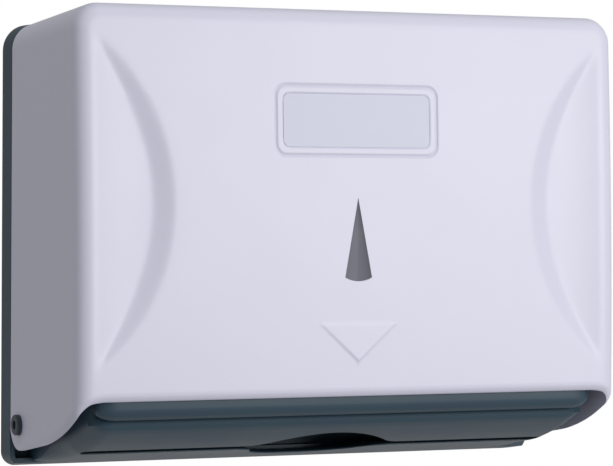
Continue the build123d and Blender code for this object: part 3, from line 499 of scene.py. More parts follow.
class CoverMesh:
    """Outer and inner skin of the cover on one set of grid lines."""

    def __init__(self, form):
        self.form = form
        sizes = form.sizes
        self.corner_x = HALF_WIDTH - sizes.corner_radius
        half = spaced(0.0, *COLUMN_STOPS, (self.corner_x, CORNER_SPACING))
        self.across = np.concatenate((-half[:0:-1], half))
        self.row_top = float(form.top_z(form.face_y(COVER_TOP)) - sizes.corner_radius)
        self.rows = spaced(sizes.face_low, *ROW_STOPS, (self.row_top, TOP_SPACING))
        depth = np.concatenate((
            np.linspace(0, 1, SEAM_LEVELS)[:-1] ** 2 * SEAM_SHARE,
            np.linspace(SEAM_SHARE, 1.0, PLAIN_LEVELS)))
        turn = np.linspace(0, QUARTER, EDGE_LEVELS)[1:]
        flat = np.linspace(0, 1, FLAT_LEVELS)[1:]
        self.depth = np.concatenate((depth, np.ones(len(turn) + len(flat))))
        self.turn = np.concatenate((np.zeros(len(depth)), turn, np.full(len(flat), QUARTER)))
        self.flat = np.concatenate((np.zeros(len(depth) + len(turn)), flat))
        self.edge, self.steep, self.lip_share = self.column_edges()
        self.points = []
        self.faces = []

    def column_edges(self):
        """Lower edge at each column: its height, steepness and share of the lip's rounding."""
        side_y = self.level_y(0.0, self.form.sizes.face_low)
        x = self.columns_x(0.0)
        y = np.concatenate((side_y, np.full(len(self.across) - 2, FRONT_Y), side_y[::-1]))
        edge = self.form.edge_height(x, y)
        around = np.concatenate(([0.0], np.cumsum(np.hypot(np.diff(x), np.diff(y)))))
        slope = np.minimum(np.abs(np.gradient(edge, around)), STEEPEST_EDGE)
        share = smooth_step(*LIP_FADE, SEAM_Y - y)
        return edge, np.sqrt(1 + slope ** 2) * share, share

    def level_inset(self, skin):
        """Inset of each ring level from the skin's outline."""
        sizes = self.form.sizes
        round_part = (sizes.edge_radius - skin) * (1 - np.cos(self.turn))
        return round_part + self.flat * (sizes.corner_radius - sizes.edge_radius)

    def level_y(self, skin, z):
        """Y of each ring level, along the last axis, where the face is at a height."""
        sizes = self.form.sizes
        start = self.form.face_y(z) + sizes.edge_radius
        radius = sizes.edge_radius - skin
        plain = SKIN_BACK_Y + self.depth * (start - SKIN_BACK_Y)
        return np.where(self.turn > 0, start - radius * np.sin(self.turn), plain)

    def columns_x(self, skin):
        """X of every column, from the seam on the left round the face to the right."""
        side_x = HALF_WIDTH - skin - self.level_inset(skin)
        return np.concatenate((-side_x, self.across[1:-1], side_x[::-1]))

    def placed_row(self, row, y, lip):
        """Height of a row, bent to the lower edge at its foot and to the top at its head."""
        form = self.form
        low = form.sizes.face_low
        foot = 1 - smooth_step(low, low + FOOT_REACH, row)
        head = smooth_step(self.row_top - HEAD_REACH, self.row_top, row)
        to_edge = self.edge + lip * self.steep - low
        to_top = form.top_z(y) - form.sizes.corner_radius - self.row_top
        return row + foot * to_edge + head * to_top

    def front_grid(self, skin, lip, rows):
        """Rows of the sides and face as [row, column, xyz]."""
        row = rows[:, None]
        x = self.columns_x(skin) + 0 * row
        z = row + 0 * x
        count = len(self.turn)
        for _ in range(SETTLE_ROUNDS):
            y = self.form.face_y(z) + skin
            for side_y, side_z in ((y, z), (y[:, ::-1], z[:, ::-1])):
                side_y[:, :count] = self.level_y(skin, side_z[:, :count])
            z = self.placed_row(row, y, lip)
        on_face = np.abs(x) < HALF_WIDTH - SCOOP_FADE[0] * self.form.sizes.edge_radius
        return np.stack((x, y + self.form.relief(x, z) * on_face, z), axis=-1)

    def upper_grid(self, skin, x, inset, rise):
        """Levels at some places across, each a rise above the top, as [level, place, xyz]."""
        z = self.row_top + 0 * x
        for _ in range(SETTLE_ROUNDS):
            y = self.level_y(skin, z.T).T
            z = self.form.top_z(y) + rise
        on_face = inset > self.form.sizes.edge_radius - skin - MERGE_DISTANCE
        return np.stack((x, y + self.form.relief(x, z) * on_face, z), axis=-1)

    def top_grid(self, skin):
        """Levels of the top as [level, column, xyz], from the seam to the face."""
        inset = self.level_inset(skin)[:, None]
        return self.upper_grid(skin, self.across + 0 * inset, inset, -skin - inset)

    def corner_grid(self, skin, side):
        """Levels of one upper corner as [level, turn, xyz]."""
        inset = self.level_inset(skin)[:, None]
        turn = np.linspace(0, QUARTER, CORNER_TURNS)[None, :]
        radius = self.form.sizes.corner_radius - skin - inset
        x = side * (self.corner_x + radius * np.cos(turn))
        return self.upper_grid(skin, x, inset, radius * np.sin(turn) - self.form.sizes.corner_radius)

    def add_grid(self, grid, flip=False):
        """Adds a grid of points and its quads."""
        rows, columns = grid.shape[:2]
        start = len(self.points)
        self.points.extend(grid.reshape(-1, 3).tolist())
        for i in range(rows - 1):
            for j in range(columns - 1):
                a = start + i * columns + j
                quad = (a, a + 1, a + columns + 1, a + columns)
                self.faces.append(quad[::-1] if flip else quad)

    def build(self):
        """Both skins, the rounded lower lip and the flat back edge."""
        sizes = self.form.sizes
        for skin, lip, flip in ((0.0, sizes.lip_height, False), (sizes.wall, 0.0, True)):
            self.add_grid(self.front_grid(skin, lip, self.rows), flip)
            self.add_grid(self.top_grid(skin), not flip)
            self.add_grid(self.corner_grid(skin, 1), flip)
            self.add_grid(self.corner_grid(skin, -1), not flip)
        self.add_grid(np.stack(list(self.lip_rows())), True)
        self.add_back_edge()

    def lip_rows(self):
        """Rows of the rounded lower edge from the outer skin to the inner one."""
        sizes = self.form.sizes
        foot = self.rows[:1]
        for t in np.linspace(0, 1, LIP_ROWS):
            round_in, round_up = 1 - math.cos(t * QUARTER), 1 - math.sin(t * QUARTER)
            inset = sizes.lip_radius * (LIP_FLAT * t + (1 - LIP_FLAT) * round_in)
            rise = sizes.lip_height * (LIP_FLAT * (1 - t) + (1 - LIP_FLAT) * round_up)
            plain = self.front_grid(0.0, rise, foot)[0]
            full = self.front_grid(inset, rise, foot)[0]
            yield plain + (full - plain) * self.lip_share[:, None]
        yield self.front_grid(sizes.wall, 0.0, foot)[0]

    def add_back_edge(self):
        """Ring that closes the outer skin to the inner one at the seam, with its two lower ends."""
        wall = self.form.sizes.wall
        rings = []
        chamfer = BACK_CHAMFER
        for skin, shift in ((0.0, 0.0), (chamfer, chamfer), (wall - chamfer, chamfer), (wall, 0.0)):
            front = self.front_grid(skin, 0.0, self.rows)
            left, right = (self.corner_grid(skin, side)[0] for side in (-1, 1))
            top = self.top_grid(skin)[0]
            ring = np.concatenate((front[:, 0], left[1:], top[1:], right[::-1][1:], front[::-1, -1][1:]))
            rings.append(ring + (0.0, shift, 0.0))
        rings = np.stack(rings)
        self.add_grid(rings)
        for end in (0, -1):
            self.add_grid(rings[[[0, 3], [1, 2]], end], end == 0)


def window_outline():
    """Outline of the window opening in (x, z): an arc for its foot and a point for its top."""
    half, bulge = WINDOW_HALF_WIDTH, WINDOW_BULGE
    radius = (half ** 2 + bulge ** 2) / (2 * bulge)
    swing = math.asin(half / radius)
    centre = (0.0, WINDOW_LOW_Z + radius - bulge)
    foot = arc(centre, radius, -QUARTER - swing, -QUARTER + swing, WINDOW_BASE_POINTS)
    return foot + [(0.0, WINDOW_TOP_Z)]


def cut_openings(piece, form):
    """Cuts the window, the lock's hole and the two bushes' holes through the wall."""
    front_y = float(form.face_y(0.0)) - CUT_PAST
    top_z = float(form.top_z(LOCK_Y)) - CUT_PAST
    solids = [
        prism([(x, front_y, z) for x, z in window_outline()], (0, 3 * CUT_PAST, 0)),
        prism([(x, LOCK_Y + y, top_z) for x, y in circle_outline(LOCK_HOLE)], (0, 0, 2 * CUT_PAST))]
    for side in (-1, 1):
        start_x = side * (HALF_WIDTH - CUT_PAST)
        ring = [(start_x, HINGE_Y + y, HINGE_Z + z) for y, z in circle_outline(BUSH_HOLE)]
        solids.append(prism(ring, (side * 2 * CUT_PAST, 0, 0)))
    points, faces = [], []
    for ends, sides in solids:
        faces += [tuple(i + len(points) for i in face) for face in sides]
        points += ends
    boolean(piece, "DIFFERENCE", (points, faces))


# ---------------------------------------------------------------- outlet tray

TRAY_FOOT_Z = -110.0 * MM
TRAY_TOP_Z = -72.0 * MM
TRAY_REAR_Y = -12.65 * MM
TRAY_LAP_Y = -5.0 * MM
TRAY_LAP_Z = -105.61 * MM

# Side line in (y, z): floor, bulge up to the crease, chin and front of the roll, brim.
BULGE_START_Y = -55.0 * MM
BULGE = (
    (-62.0 * MM, -99.1 * MM), (-73.0 * MM, -95.4 * MM), (-82.0 * MM, -91.3 * MM),
    (-86.6 * MM, -88.7 * MM), (-88.4 * MM, -87.1 * MM), (-88.8 * MM, -85.9 * MM),
    (-88.3 * MM, -84.6 * MM))
CREASE = (-86.3 * MM, -81.4 * MM)
CHIN = (-95.2 * MM, -81.4 * MM)
ROLL_FRONT = (-96.5 * MM, -78.0 * MM)
BRIM_Y = -95.9 * MM
CREASE_SLOPE = (0.65, 0.76)
CREASE_WAY = (0.6, 0.8)
BRIM_WAY = (1.0, 0.0)
FLOOR_POINTS = 12
BULGE_POINTS = 26
ROLL_POINTS = 13

# The inner skin leaves out the end of the bulge and the lower half of the roll.
BULGE_LEFT_OUT = 5
ROLL_CHOSEN = slice(6, None, 3)

# The ends' rounding grows from the rear to the slot and is less again over the roll.
REAR_ROUNDING = 1.2 * MM
LEAST_ROUNDING = 0.3 * MM
FLOOR_ROUNDING_RUN = (20.0 * MM, 48.0 * MM)
ROLL_ROUNDING_RUN = (-98.0 * MM, -83.0 * MM)
END_TURNS = 12
MIDDLE_COLUMNS = 25

# Outlet: a slot with an eye in its middle, joined by blends, and a thinned lip behind it.
SLOT_Y = (-62.0 * MM, -52.0 * MM)
SLOT_END_RADIUS = 4.5 * MM
EYE_Y = -50.4 * MM
EYE_FRONT_Y = -79.4 * MM
EYE_BLEND = 12.0 * MM
END_POINTS = 8
BLEND_POINTS = 10
EYE_POINTS = 20
EYE_FRONT_POINTS = 16
OUTLET_CUT_START = 20.0 * MM
OUTLET_CUT_HEIGHT = 38.0 * MM
SLOT_LIP_THICKNESS = 0.5 * MM
SLOT_LIP_REACH = 7.6 * MM
SLOT_LIP_FRONT_Y = -57.0 * MM
SLOT_LIP_END_GAP = 0.2 * MM

TRAY_SCREWS = [f"tray_screw_{i}" for i in range(1, 5)]
TRAY_SCREW_HOLE_RADIUS = 1.65 * MM
DRILL_START = 2.0 * MM
DRILL_DEPTH = 8.0 * MM
DRILL_SIDES = 24


def underside_z(y):
    """Height of the sloping underside."""
    return TRAY_FOOT_Z - y * UNDERSIDE_SLOPE


class TrayForm:
    """Side line of the tray from its lap over the base's rim to the brim of its front roll."""

    def __init__(self, sizes):
        self.sizes = sizes
        self.stretch = math.hypot(1.0, UNDERSIDE_SLOPE)
        floor_y = np.linspace(TRAY_REAR_Y, BULGE_START_Y, FLOOR_POINTS)[:-1]
        self.floor = np.stack((floor_y, underside_z(floor_y)), axis=1)
        knots = np.array([(BULGE_START_Y, underside_z(BULGE_START_Y)), *BULGE, CREASE])
        along = np.concatenate(([0.0], np.cumsum(np.hypot(*np.diff(knots, axis=0).T))))
        slopes = np.gradient(knots, along, axis=0)
        slopes[0] = np.array((-1.0, UNDERSIDE_SLOPE)) / self.stretch
        slopes[-1] = CREASE_SLOPE
        places = np.linspace(0.0, along[-1], BULGE_POINTS)
        self.bulge = np.stack([
            hermite(places, along, knots[:, axis], slopes[:, axis]) for axis in (0, 1)], axis=1)
        self.roll, centre = arc_through(CREASE, CHIN, ROLL_FRONT, ROLL_POINTS)
        self.into_roll = unit_rows(centre - self.roll)

    def outer(self):
        """Outer side line and the direction into the wall at each of its places."""
        line = np.concatenate((self.floor, self.bulge))
        into = self.inward(line)
        line = np.concatenate((line, self.roll[1:], [(BRIM_Y, TRAY_TOP_Z)]))
        return line, np.concatenate((into, self.into_roll[1:], [BRIM_WAY]))

    def inner(self):
        """The same on the towels' side of the wall, with a straight way over the crease."""
        wall = self.sizes.wall
        line = np.concatenate((self.floor[1:], self.bulge[:-BULGE_LEFT_OUT], self.bulge[-1:]))
        into = self.inward(line)
        rear_y = TRAY_REAR_Y - wall
        start = (rear_y, underside_z(rear_y) + wall * self.stretch)
        end = (BRIM_Y + wall, TRAY_TOP_Z + 2 * wall)
        into_roll = self.into_roll[ROLL_CHOSEN]
        roll = self.roll[ROLL_CHOSEN] + into_roll * wall
        line = np.concatenate(([start], line + into * wall, roll, [end]))
        return line, np.concatenate((into[:1], into, into_roll, [BRIM_WAY]))

    @staticmethod
    def inward(line):
        """Directions from the outer skin to the towels, square to a line that ends in the crease."""
        along = np.gradient(line, axis=0)
        into = unit_rows(np.stack((along[:, 1], -along[:, 0]), axis=1))
        into[-1] = CREASE_WAY
        return into

    def rounding(self, line, skin):
        """How far the skin turns in at the ends: little at the rear, most below the slot."""
        sizes = self.sizes
        floor = smooth_step(*FLOOR_ROUNDING_RUN, -line[:, 0])
        roll = smooth_step(*ROLL_ROUNDING_RUN, line[:, 1])
        reach = REAR_ROUNDING + floor * (sizes.end_rounding - REAR_ROUNDING)
        reach = reach + roll * (sizes.roll_rounding - reach)
        return np.maximum(reach - skin, LEAST_ROUNDING)

    def solid(self, line, into, skin):
        """Closed solid as points and faces: the side line carried from end to end."""
        rounding = self.rounding(line, skin)
        rear = (TRAY_REAR_Y - skin, line[-1, 1])
        end = self.sizes.end_rounding - skin
        straight = self.sizes.half_width - skin - end
        turn = np.linspace(0, QUARTER, END_TURNS)
        middle = np.linspace(-1, 1, MIDDLE_COLUMNS)[1:-1] * straight
        x = np.concatenate((-straight - end * np.sin(turn[::-1]), middle, straight + end * np.sin(turn)))
        lift = np.concatenate((1 - np.cos(turn[::-1]), 0 * middle, 1 - np.cos(turn)))
        points = []
        for place, share in zip(x, lift):
            section = line + into * (rounding * share)[:, None]
            section[-1, 1] = line[-1, 1]
            points += [(place, y, z) for y, z in (*section, rear)]
        count = len(line) + 1
        faces = [tuple(range(count)), tuple(range(len(points) - 1, len(points) - count - 1, -1))]
        for start in range(0, len(points) - count, count):
            for j in range(count):
                a, b = start + j, start + (j + 1) % count
                faces.append((a, a + count, b + count, b))
        return points, faces


def blend_place(eye_radius, drop):
    """How far across a blend's centre lies and the angle at which the blend meets the eye."""
    across = math.sqrt((eye_radius + EYE_BLEND) ** 2 - drop ** 2)
    return across, math.atan2(drop, across)


def outlet_rear(sizes, past=0.0):
    """Right half of the outlet's rear edge in (x, y), from the slot's end to the eye's middle."""
    rear_y = SLOT_Y[1]
    blend_y = rear_y + EYE_BLEND
    across, turn = blend_place(sizes.eye_radius, blend_y - EYE_Y)
    end_centre = (sizes.slot_half_length - SLOT_END_RADIUS, rear_y - SLOT_END_RADIUS)
    end = arc(end_centre, SLOT_END_RADIUS + past, 0.0, QUARTER, END_POINTS)
    blend = arc((across, blend_y), EYE_BLEND - past, -QUARTER, turn - math.pi, BLEND_POINTS)
    eye = arc((0.0, EYE_Y), sizes.eye_radius + past, turn, QUARTER, EYE_POINTS)
    return end + blend + eye[1:]


def outlet_front(sizes):
    """Right half of the outlet's front edge in (x, y), from the eye's middle to the slot's end."""
    front_y = SLOT_Y[0]
    blend_y = front_y - EYE_BLEND
    middle_y = EYE_FRONT_Y + sizes.eye_front_radius
    across, turn = blend_place(sizes.eye_front_radius, middle_y - blend_y)
    end_centre = (sizes.slot_half_length - SLOT_END_RADIUS, front_y + SLOT_END_RADIUS)
    eye = arc((0.0, middle_y), sizes.eye_front_radius, -QUARTER, -turn, EYE_FRONT_POINTS)
    blend = arc((across, blend_y), EYE_BLEND, math.pi - turn, QUARTER, BLEND_POINTS)
    return eye + blend + arc(end_centre, SLOT_END_RADIUS, -QUARTER, 0.0, END_POINTS)


def mirrored(points):
    """Outline from right to left through a half outline that ends on the middle."""
    return points + [(-x, y) for x, y in points[-2::-1]]


def outlet_cutters(sizes):
    """Solids that open the slot, thin its rear lip and drill the screw holes."""
    rear, front = outlet_rear(sizes), outlet_front(sizes)
    outline = mirrored(rear) + [(-x, y) for x, y in front[::-1]] + front[1:]
    low_z = TRAY_FOOT_Z - OUTLET_CUT_START
    yield prism([(x, y, low_z) for x, y in outline], (0, 0, OUTLET_CUT_HEIGHT))

    limit = sizes.half_width - sizes.wall - SLOT_LIP_END_GAP
    levels = []
    for past, rise in ((0.0, SLOT_LIP_THICKNESS), (SLOT_LIP_REACH, SLOT_LIP_THICKNESS + 2 * sizes.wall)):
        half = [(rear[0][0] + past, SLOT_LIP_FRONT_Y), *outlet_rear(sizes, past)]
        half = [(min(x, limit), y) for x, y in half]
        levels.append([(x, y, underside_z(y) + rise) for x, y in mirrored(half)])
    yield loft(*levels)

    for node in TRAY_SCREWS:
        low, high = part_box(node)
        x, z = (low.x + high.x) / 2, (low.z + high.z) / 2
        hole = circle_outline(TRAY_SCREW_HOLE_RADIUS, DRILL_SIDES)
        yield prism([(x + u, TRAY_LAP_Y + DRILL_START, z + v) for u, v in hole], (0, -DRILL_DEPTH, 0))


def end_to_end(half_width, back_y, front_y, low_z, high_z):
    """Block that reaches from end to end of the tray."""
    corners = ((back_y, low_z), (front_y, low_z), (front_y, high_z), (back_y, high_z))
    return prism([(-half_width, y, z) for y, z in corners], (2 * half_width, 0, 0))


def make_tray(sizes):
    """Outlet tray: trough with rounded ends, front roll, slot, eye and screw holes."""
    form = TrayForm(sizes)
    wall, half = sizes.wall, sizes.half_width
    lap = end_to_end(half, TRAY_LAP_Y, TRAY_REAR_Y - wall / 2, TRAY_LAP_Z, TRAY_TOP_Z)
    lap_inside = end_to_end(
        half - wall, TRAY_LAP_Y - wall, TRAY_REAR_Y - 2 * wall, TRAY_LAP_Z + wall, TRAY_TOP_Z + 2 * wall)
    piece = mesh_from("outlet_trough", *form.solid(*form.outer(), 0.0))
    boolean(piece, "UNION", lap)
    boolean(piece, "DIFFERENCE", form.solid(*form.inner(), wall))
    boolean(piece, "DIFFERENCE", lap_inside)
    for cutter in outlet_cutters(sizes):
        boolean(piece, "DIFFERENCE", cutter)
    return piece


# ---------------------------------------------------------------- shader groups

SPECKLE_FINENESS = 2.3
SPECKLE_SHARE = 0.5
MOTTLE_FINENESS = 14.0
MOTTLE_SHARE = 0.3
BRUSH_STRETCH = (0.04, 1.0, 1.0)
# Painted shade on the window: lightest just left of its middle, darker towards its edges, its right and
# its apex.
CONE_PAINTED_LIGHT_SHIFT = 0.3
CONE_NARROWEST = 0.08
CONE_APEX_SHARE = 0.45
CONE_APEX_PAINTED_SHADE = 0.7
CONE_DARKEST_PAINTED_SHADE = 0.2


def new_group(name, inputs, outputs):
    """Shader group with named sockets, its input node and its output node."""
    group = bpy.data.node_groups.new(name, "ShaderNodeTree")
    for label, kind, default in inputs:
        socket = group.interface.new_socket(label, in_out="INPUT", socket_type=kind)
        socket.default_value = default
    for label, kind in outputs:
        group.interface.new_socket(label, in_out="OUTPUT", socket_type=kind)
    return group, group.nodes.new("NodeGroupInput"), group.nodes.new("NodeGroupOutput")


def feed(tree, socket, value):
    """Sets an input to a number or links another node's output to it."""
    if isinstance(value, (int, float)):
        socket.default_value = value
    else:
        tree.links.new(value, socket)


def maths(tree, operation, a, b):
    """Math node with sockets or numbers on its two inputs."""
    node = tree.nodes.new("ShaderNodeMath")
    node.operation = operation
    feed(tree, node.inputs[0], a)
    feed(tree, node.inputs[1], b)
    return node.outputs[0]


def noise(tree, vector, scale, detail=2.0, roughness=0.5):
    """Noise texture's factor."""
    node = tree.nodes.new("ShaderNodeTexNoise")
    for label, value in (
            ("Vector", vector), ("Scale", scale), ("Detail", detail), ("Roughness", roughness)):
        feed(tree, node.inputs[label], value)
    return node.outputs[0]


def valued(tree, colour, value):
    """A colour made lighter or darker by a value."""
    node = tree.nodes.new("ShaderNodeHueSaturation")
    tree.links.new(value, node.inputs["Value"])
    tree.links.new(colour, node.inputs["Color"])
    return node.outputs["Color"]


def moulded_grain():
    """Height of the fine leathery grain that a mould leaves on plastic."""
    group, start, end = new_group(
        "moulded grain",
        [("Vector", "NodeSocketVector", (0, 0, 0)), ("Grain per metre", "NodeSocketFloat", 2200.0)],
        [("Height", "NodeSocketFloat")])
    cells = group.nodes.new("ShaderNodeTexVoronoi")
    cells.feature = "SMOOTH_F1"
    group.links.new(start.outputs["Vector"], cells.inputs["Vector"])
    group.links.new(start.outputs["Grain per metre"], cells.inputs["Scale"])
    fine = maths(group, "MULTIPLY", start.outputs["Grain per metre"], SPECKLE_FINENESS)
    speckle = noise(group, start.outputs["Vector"], fine, detail=1.0)
    speckle = maths(group, "MULTIPLY", speckle, SPECKLE_SHARE)
    height = maths(group, "ADD", cells.outputs["Distance"], speckle)
    group.links.new(height, end.inputs["Height"])
    return group


def tone_drift():
    """Colour that drifts a little in value over a surface, with a faint finer mottle."""
    group, start, end = new_group(
        "tone drift",
        [("Vector", "NodeSocketVector", (0, 0, 0)), ("Color", "NodeSocketColor", (1, 1, 1, 1)),
         ("Amount", "NodeSocketFloat", 0.05), ("Patches per metre", "NodeSocketFloat", 12.0)],
        [("Color", "NodeSocketColor")])
    broad = noise(group, start.outputs["Vector"], start.outputs["Patches per metre"], detail=3.0)
    broad = maths(group, "MULTIPLY", broad, 1.0 - MOTTLE_SHARE)
    finer = maths(group, "MULTIPLY", start.outputs["Patches per metre"], MOTTLE_FINENESS)
    mottle = noise(group, start.outputs["Vector"], finer)
    mottle = maths(group, "MULTIPLY", mottle, MOTTLE_SHARE)
    off_middle = maths(group, "SUBTRACT", maths(group, "ADD", broad, mottle), 0.5)
    swing = maths(group, "MULTIPLY", off_middle, start.outputs["Amount"])
    value = maths(group, "ADD", maths(group, "MULTIPLY", swing, 2.0), 1.0)
    group.links.new(valued(group, start.outputs["Color"], value), end.inputs["Color"])
    return group


def handled_gloss():
    """Roughness with soft smears where hands and cloths have polished the surface."""
    group, start, end = new_group(
        "handled gloss",
        [("Vector", "NodeSocketVector", (0, 0, 0)), ("Roughness", "NodeSocketFloat", 0.4),
         ("Swing", "NodeSocketFloat", 0.08), ("Smears per metre", "NodeSocketFloat", 26.0)],
        [("Roughness", "NodeSocketFloat")])
    smear = noise(
        group, start.outputs["Vector"], start.outputs["Smears per metre"], detail=4.0, roughness=0.6)
    off_middle = maths(group, "SUBTRACT", smear, 0.5)
    swing = maths(group, "MULTIPLY", off_middle, start.outputs["Swing"])
    swing = maths(group, "MULTIPLY", swing, 2.0)
    group.links.new(maths(group, "ADD", start.outputs["Roughness"], swing), end.inputs["Roughness"])
    return group


def brushed_lines():
    """Height of fine parallel brushing along X."""
    group, start, end = new_group(
        "brushed lines",
        [("Vector", "NodeSocketVector", (0, 0, 0)), ("Lines per metre", "NodeSocketFloat", 3500.0)],
        [("Height", "NodeSocketFloat")])
    stretch = group.nodes.new("ShaderNodeVectorMath")
    stretch.operation = "MULTIPLY"
    stretch.inputs[1].default_value = BRUSH_STRETCH
    group.links.new(start.outputs["Vector"], stretch.inputs[0])
    lines = noise(group, stretch.outputs[0], start.outputs["Lines per metre"], roughness=0.7)
    group.links.new(lines, end.inputs["Height"])
    return group


def painted_cone_shade():
    """Colour of a clear cone over a dark inside, with painted shade: darker to its edges, its right and
    its apex.
    """
    group, start, end = new_group(
        "painted cone shade",
        [("Vector", "NodeSocketVector", (0, 0, 0)), ("Color", "NodeSocketColor", (1, 1, 1, 1)),
         ("Apex", "NodeSocketFloat", WINDOW_TOP_Z),
         ("Length", "NodeSocketFloat", WINDOW_TOP_Z - WINDOW_LOW_Z),
         ("Half width", "NodeSocketFloat", WINDOW_HALF_WIDTH), ("Depth", "NodeSocketFloat", 0.2)],
        [("Color", "NodeSocketColor")])
    split = group.nodes.new("ShaderNodeSeparateXYZ")
    group.links.new(start.outputs["Vector"], split.inputs[0])
    below = maths(group, "SUBTRACT", start.outputs["Apex"], split.outputs["Z"])
    down = maths(group, "DIVIDE", below, start.outputs["Length"])
    taper = maths(group, "MAXIMUM", down, CONE_NARROWEST)
    reach = maths(group, "MULTIPLY", start.outputs["Half width"], taper)
    across = maths(group, "DIVIDE", split.outputs["X"], reach)
    # Painted shade: the colour darkens away from a spot left of the middle and near the apex.
    off = maths(group, "ADD", across, CONE_PAINTED_LIGHT_SHIFT)
    side_painted_shade = maths(group, "MULTIPLY", maths(group, "MULTIPLY", off, off), start.outputs["Depth"])
    near_apex = maths(group, "MAXIMUM", maths(group, "SUBTRACT", CONE_APEX_SHARE, down), 0.0)
    apex_painted_shade = maths(group, "MULTIPLY", near_apex, CONE_APEX_PAINTED_SHADE)
    value = maths(group, "SUBTRACT", maths(group, "SUBTRACT", 1.0, side_painted_shade), apex_painted_shade)
    value = maths(group, "MAXIMUM", value, CONE_DARKEST_PAINTED_SHADE)
    group.links.new(valued(group, start.outputs["Color"], value), end.inputs["Color"])
    return group


GROUPS = {}


def place_group(tree, builder, vector, **values):
    """Places a shared group, built once, in a material with its own values."""
    if builder not in GROUPS:
        GROUPS[builder] = builder()
    node = tree.nodes.new("ShaderNodeGroup")
    node.node_tree = GROUPS[builder]
    tree.links.new(vector, node.inputs["Vector"])
    for label, value in values.items():
        node.inputs[label.replace("_", " ")].default_value = value
    return node


# ---------------------------------------------------------------- finishes

GRAIN_STRENGTH = 0.5
BRUSHING_STRENGTH = 0.4
SMOKE_SPECULAR = 0.12


def plain_material(name, roughness):
    """New material, its tree and its Principled shader."""
    material = bpy.data.materials.new(name)
    material.use_nodes = True
    shader = material.node_tree.nodes["Principled BSDF"]
    shader.inputs["Roughness"].default_value = roughness
    return material, material.node_tree, shader


def base_material(name, colour, roughness, drift, swing, patches=12.0, smears=26.0, metallic=0.0):
    """Material with handled gloss: itself, its tree, shader, coordinates and drifting colour."""
    material, tree, shader = plain_material(name, roughness)
    shader.inputs["Metallic"].default_value = metallic
    place = tree.nodes.new("ShaderNodeTexCoord").outputs["Object"]
    tint = place_group(
        tree, tone_drift, place, Color=(*colour, 1.0), Amount=drift, Patches_per_metre=patches)
    gloss = place_group(
        tree, handled_gloss, place, Roughness=roughness, Swing=swing, Smears_per_metre=smears)
    tree.links.new(gloss.outputs["Roughness"], shader.inputs["Roughness"])
    return material, tree, shader, place, tint.outputs["Color"]


def add_bump(tree, shader, height, distance, strength):
    """Feeds a height to the shader's normal."""
    bump = tree.nodes.new("ShaderNodeBump")
    bump.inputs["Distance"].default_value = distance
    bump.inputs["Strength"].default_value = strength
    tree.links.new(height, bump.inputs["Height"])
    tree.links.new(bump.outputs["Normal"], shader.inputs["Normal"])


def moulded_plastic(name, colour, roughness, grain, grain_height, drift, swing):
    """Injection-moulded plastic: fine grain, slight drift of tone and handled gloss."""
    material, tree, shader, place, tint = base_material(name, colour, roughness, drift, swing)
    texture = place_group(tree, moulded_grain, place, Grain_per_metre=grain)
    tree.links.new(tint, shader.inputs["Base Color"])
    add_bump(tree, shader, texture.outputs["Height"], grain_height, GRAIN_STRENGTH)
    return material


def plated_metal(name, colour, roughness, lines, line_height, swing=0.06):
    """Plated or brushed metal with faint lines and smeared gloss."""
    material, tree, shader, place, tint = base_material(
        name, colour, roughness, drift=0.05, swing=swing, patches=90.0, smears=160.0, metallic=1.0)
    brushing = place_group(tree, brushed_lines, place, Lines_per_metre=lines)
    tree.links.new(tint, shader.inputs["Base Color"])
    add_bump(tree, shader, brushing.outputs["Height"], line_height, BRUSHING_STRENGTH)
    return material


def smoke_plastic(name, colour):
    """Smoke-tinted clear plastic over the dark inside, with a soft gloss and painted shade over its
    cone.
    """
    material, tree, shader, place, tint = base_material(
        name, colour, roughness=0.38, drift=0.06, swing=0.04, patches=60.0, smears=120.0)
    # Painted shade: the cone's colour darkens to its edges, its right and its apex.
    cone = place_group(tree, painted_cone_shade, place)
    tree.links.new(tint, cone.inputs["Color"])
    tree.links.new(cone.outputs["Color"], shader.inputs["Base Color"])
    shader.inputs["Specular IOR Level"].default_value = SMOKE_SPECULAR
    return material


MATERIALS = {}


def finishes():
    """Every finish of the dispenser by its name, built once."""
    if not MATERIALS:
        colours = bpy.context.scene.dispenser_colours
        MATERIALS.update({
            "cover_plastic": moulded_plastic(
                "white moulded cover", colours.cover, roughness=0.42,
                grain=2600.0, grain_height=0.02 * MM, drift=0.012, swing=0.04),
            "dark_plastic": moulded_plastic(
                "blue-black mouldings", colours.mouldings, roughness=0.52,
                grain=1700.0, grain_height=0.05 * MM, drift=0.06, swing=0.06),
            "label_plastic": moulded_plastic(
                "bare label plate", colours.label, roughness=0.55,
                grain=3000.0, grain_height=0.02 * MM, drift=0.015, swing=0.04),
            "bush_plastic": moulded_plastic(
                "hinge bush", (0.034, 0.046, 0.058), roughness=0.5,
                grain=3000.0, grain_height=0.03 * MM, drift=0.06, swing=0.06),
            "smoke_window": smoke_plastic("smoke window", colours.window),
            "pin_steel": plated_metal(
                "blackened pin", (0.08, 0.085, 0.09), roughness=0.42,
                lines=5000.0, line_height=0.01 * MM),
            "lock_chrome": plated_metal(
                "chromed lock", (0.72, 0.72, 0.74), roughness=0.12,
                lines=6000.0, line_height=0.002 * MM, swing=0.03),
            "lock_brass": plated_metal(
                "turned brass", (0.62, 0.44, 0.19), roughness=0.3,
                lines=5000.0, line_height=0.01 * MM),
            "keeper_steel": plated_metal(
                "zinc-plated sheet", (0.50, 0.51, 0.53), roughness=0.34,
                lines=3000.0, line_height=0.012 * MM),
            "zinc_screw": plated_metal(
                "zinc-plated screw", (0.55, 0.55, 0.57), roughness=0.3,
                lines=6000.0, line_height=0.008 * MM),
        })
    return MATERIALS


def finish_nodes(slot, *nodes):
    """Gives CAD nodes a finish."""
    for node in nodes:
        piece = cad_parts[node]
        dress(piece, finishes()[slot])


# ---------------------------------------------------------------- screws

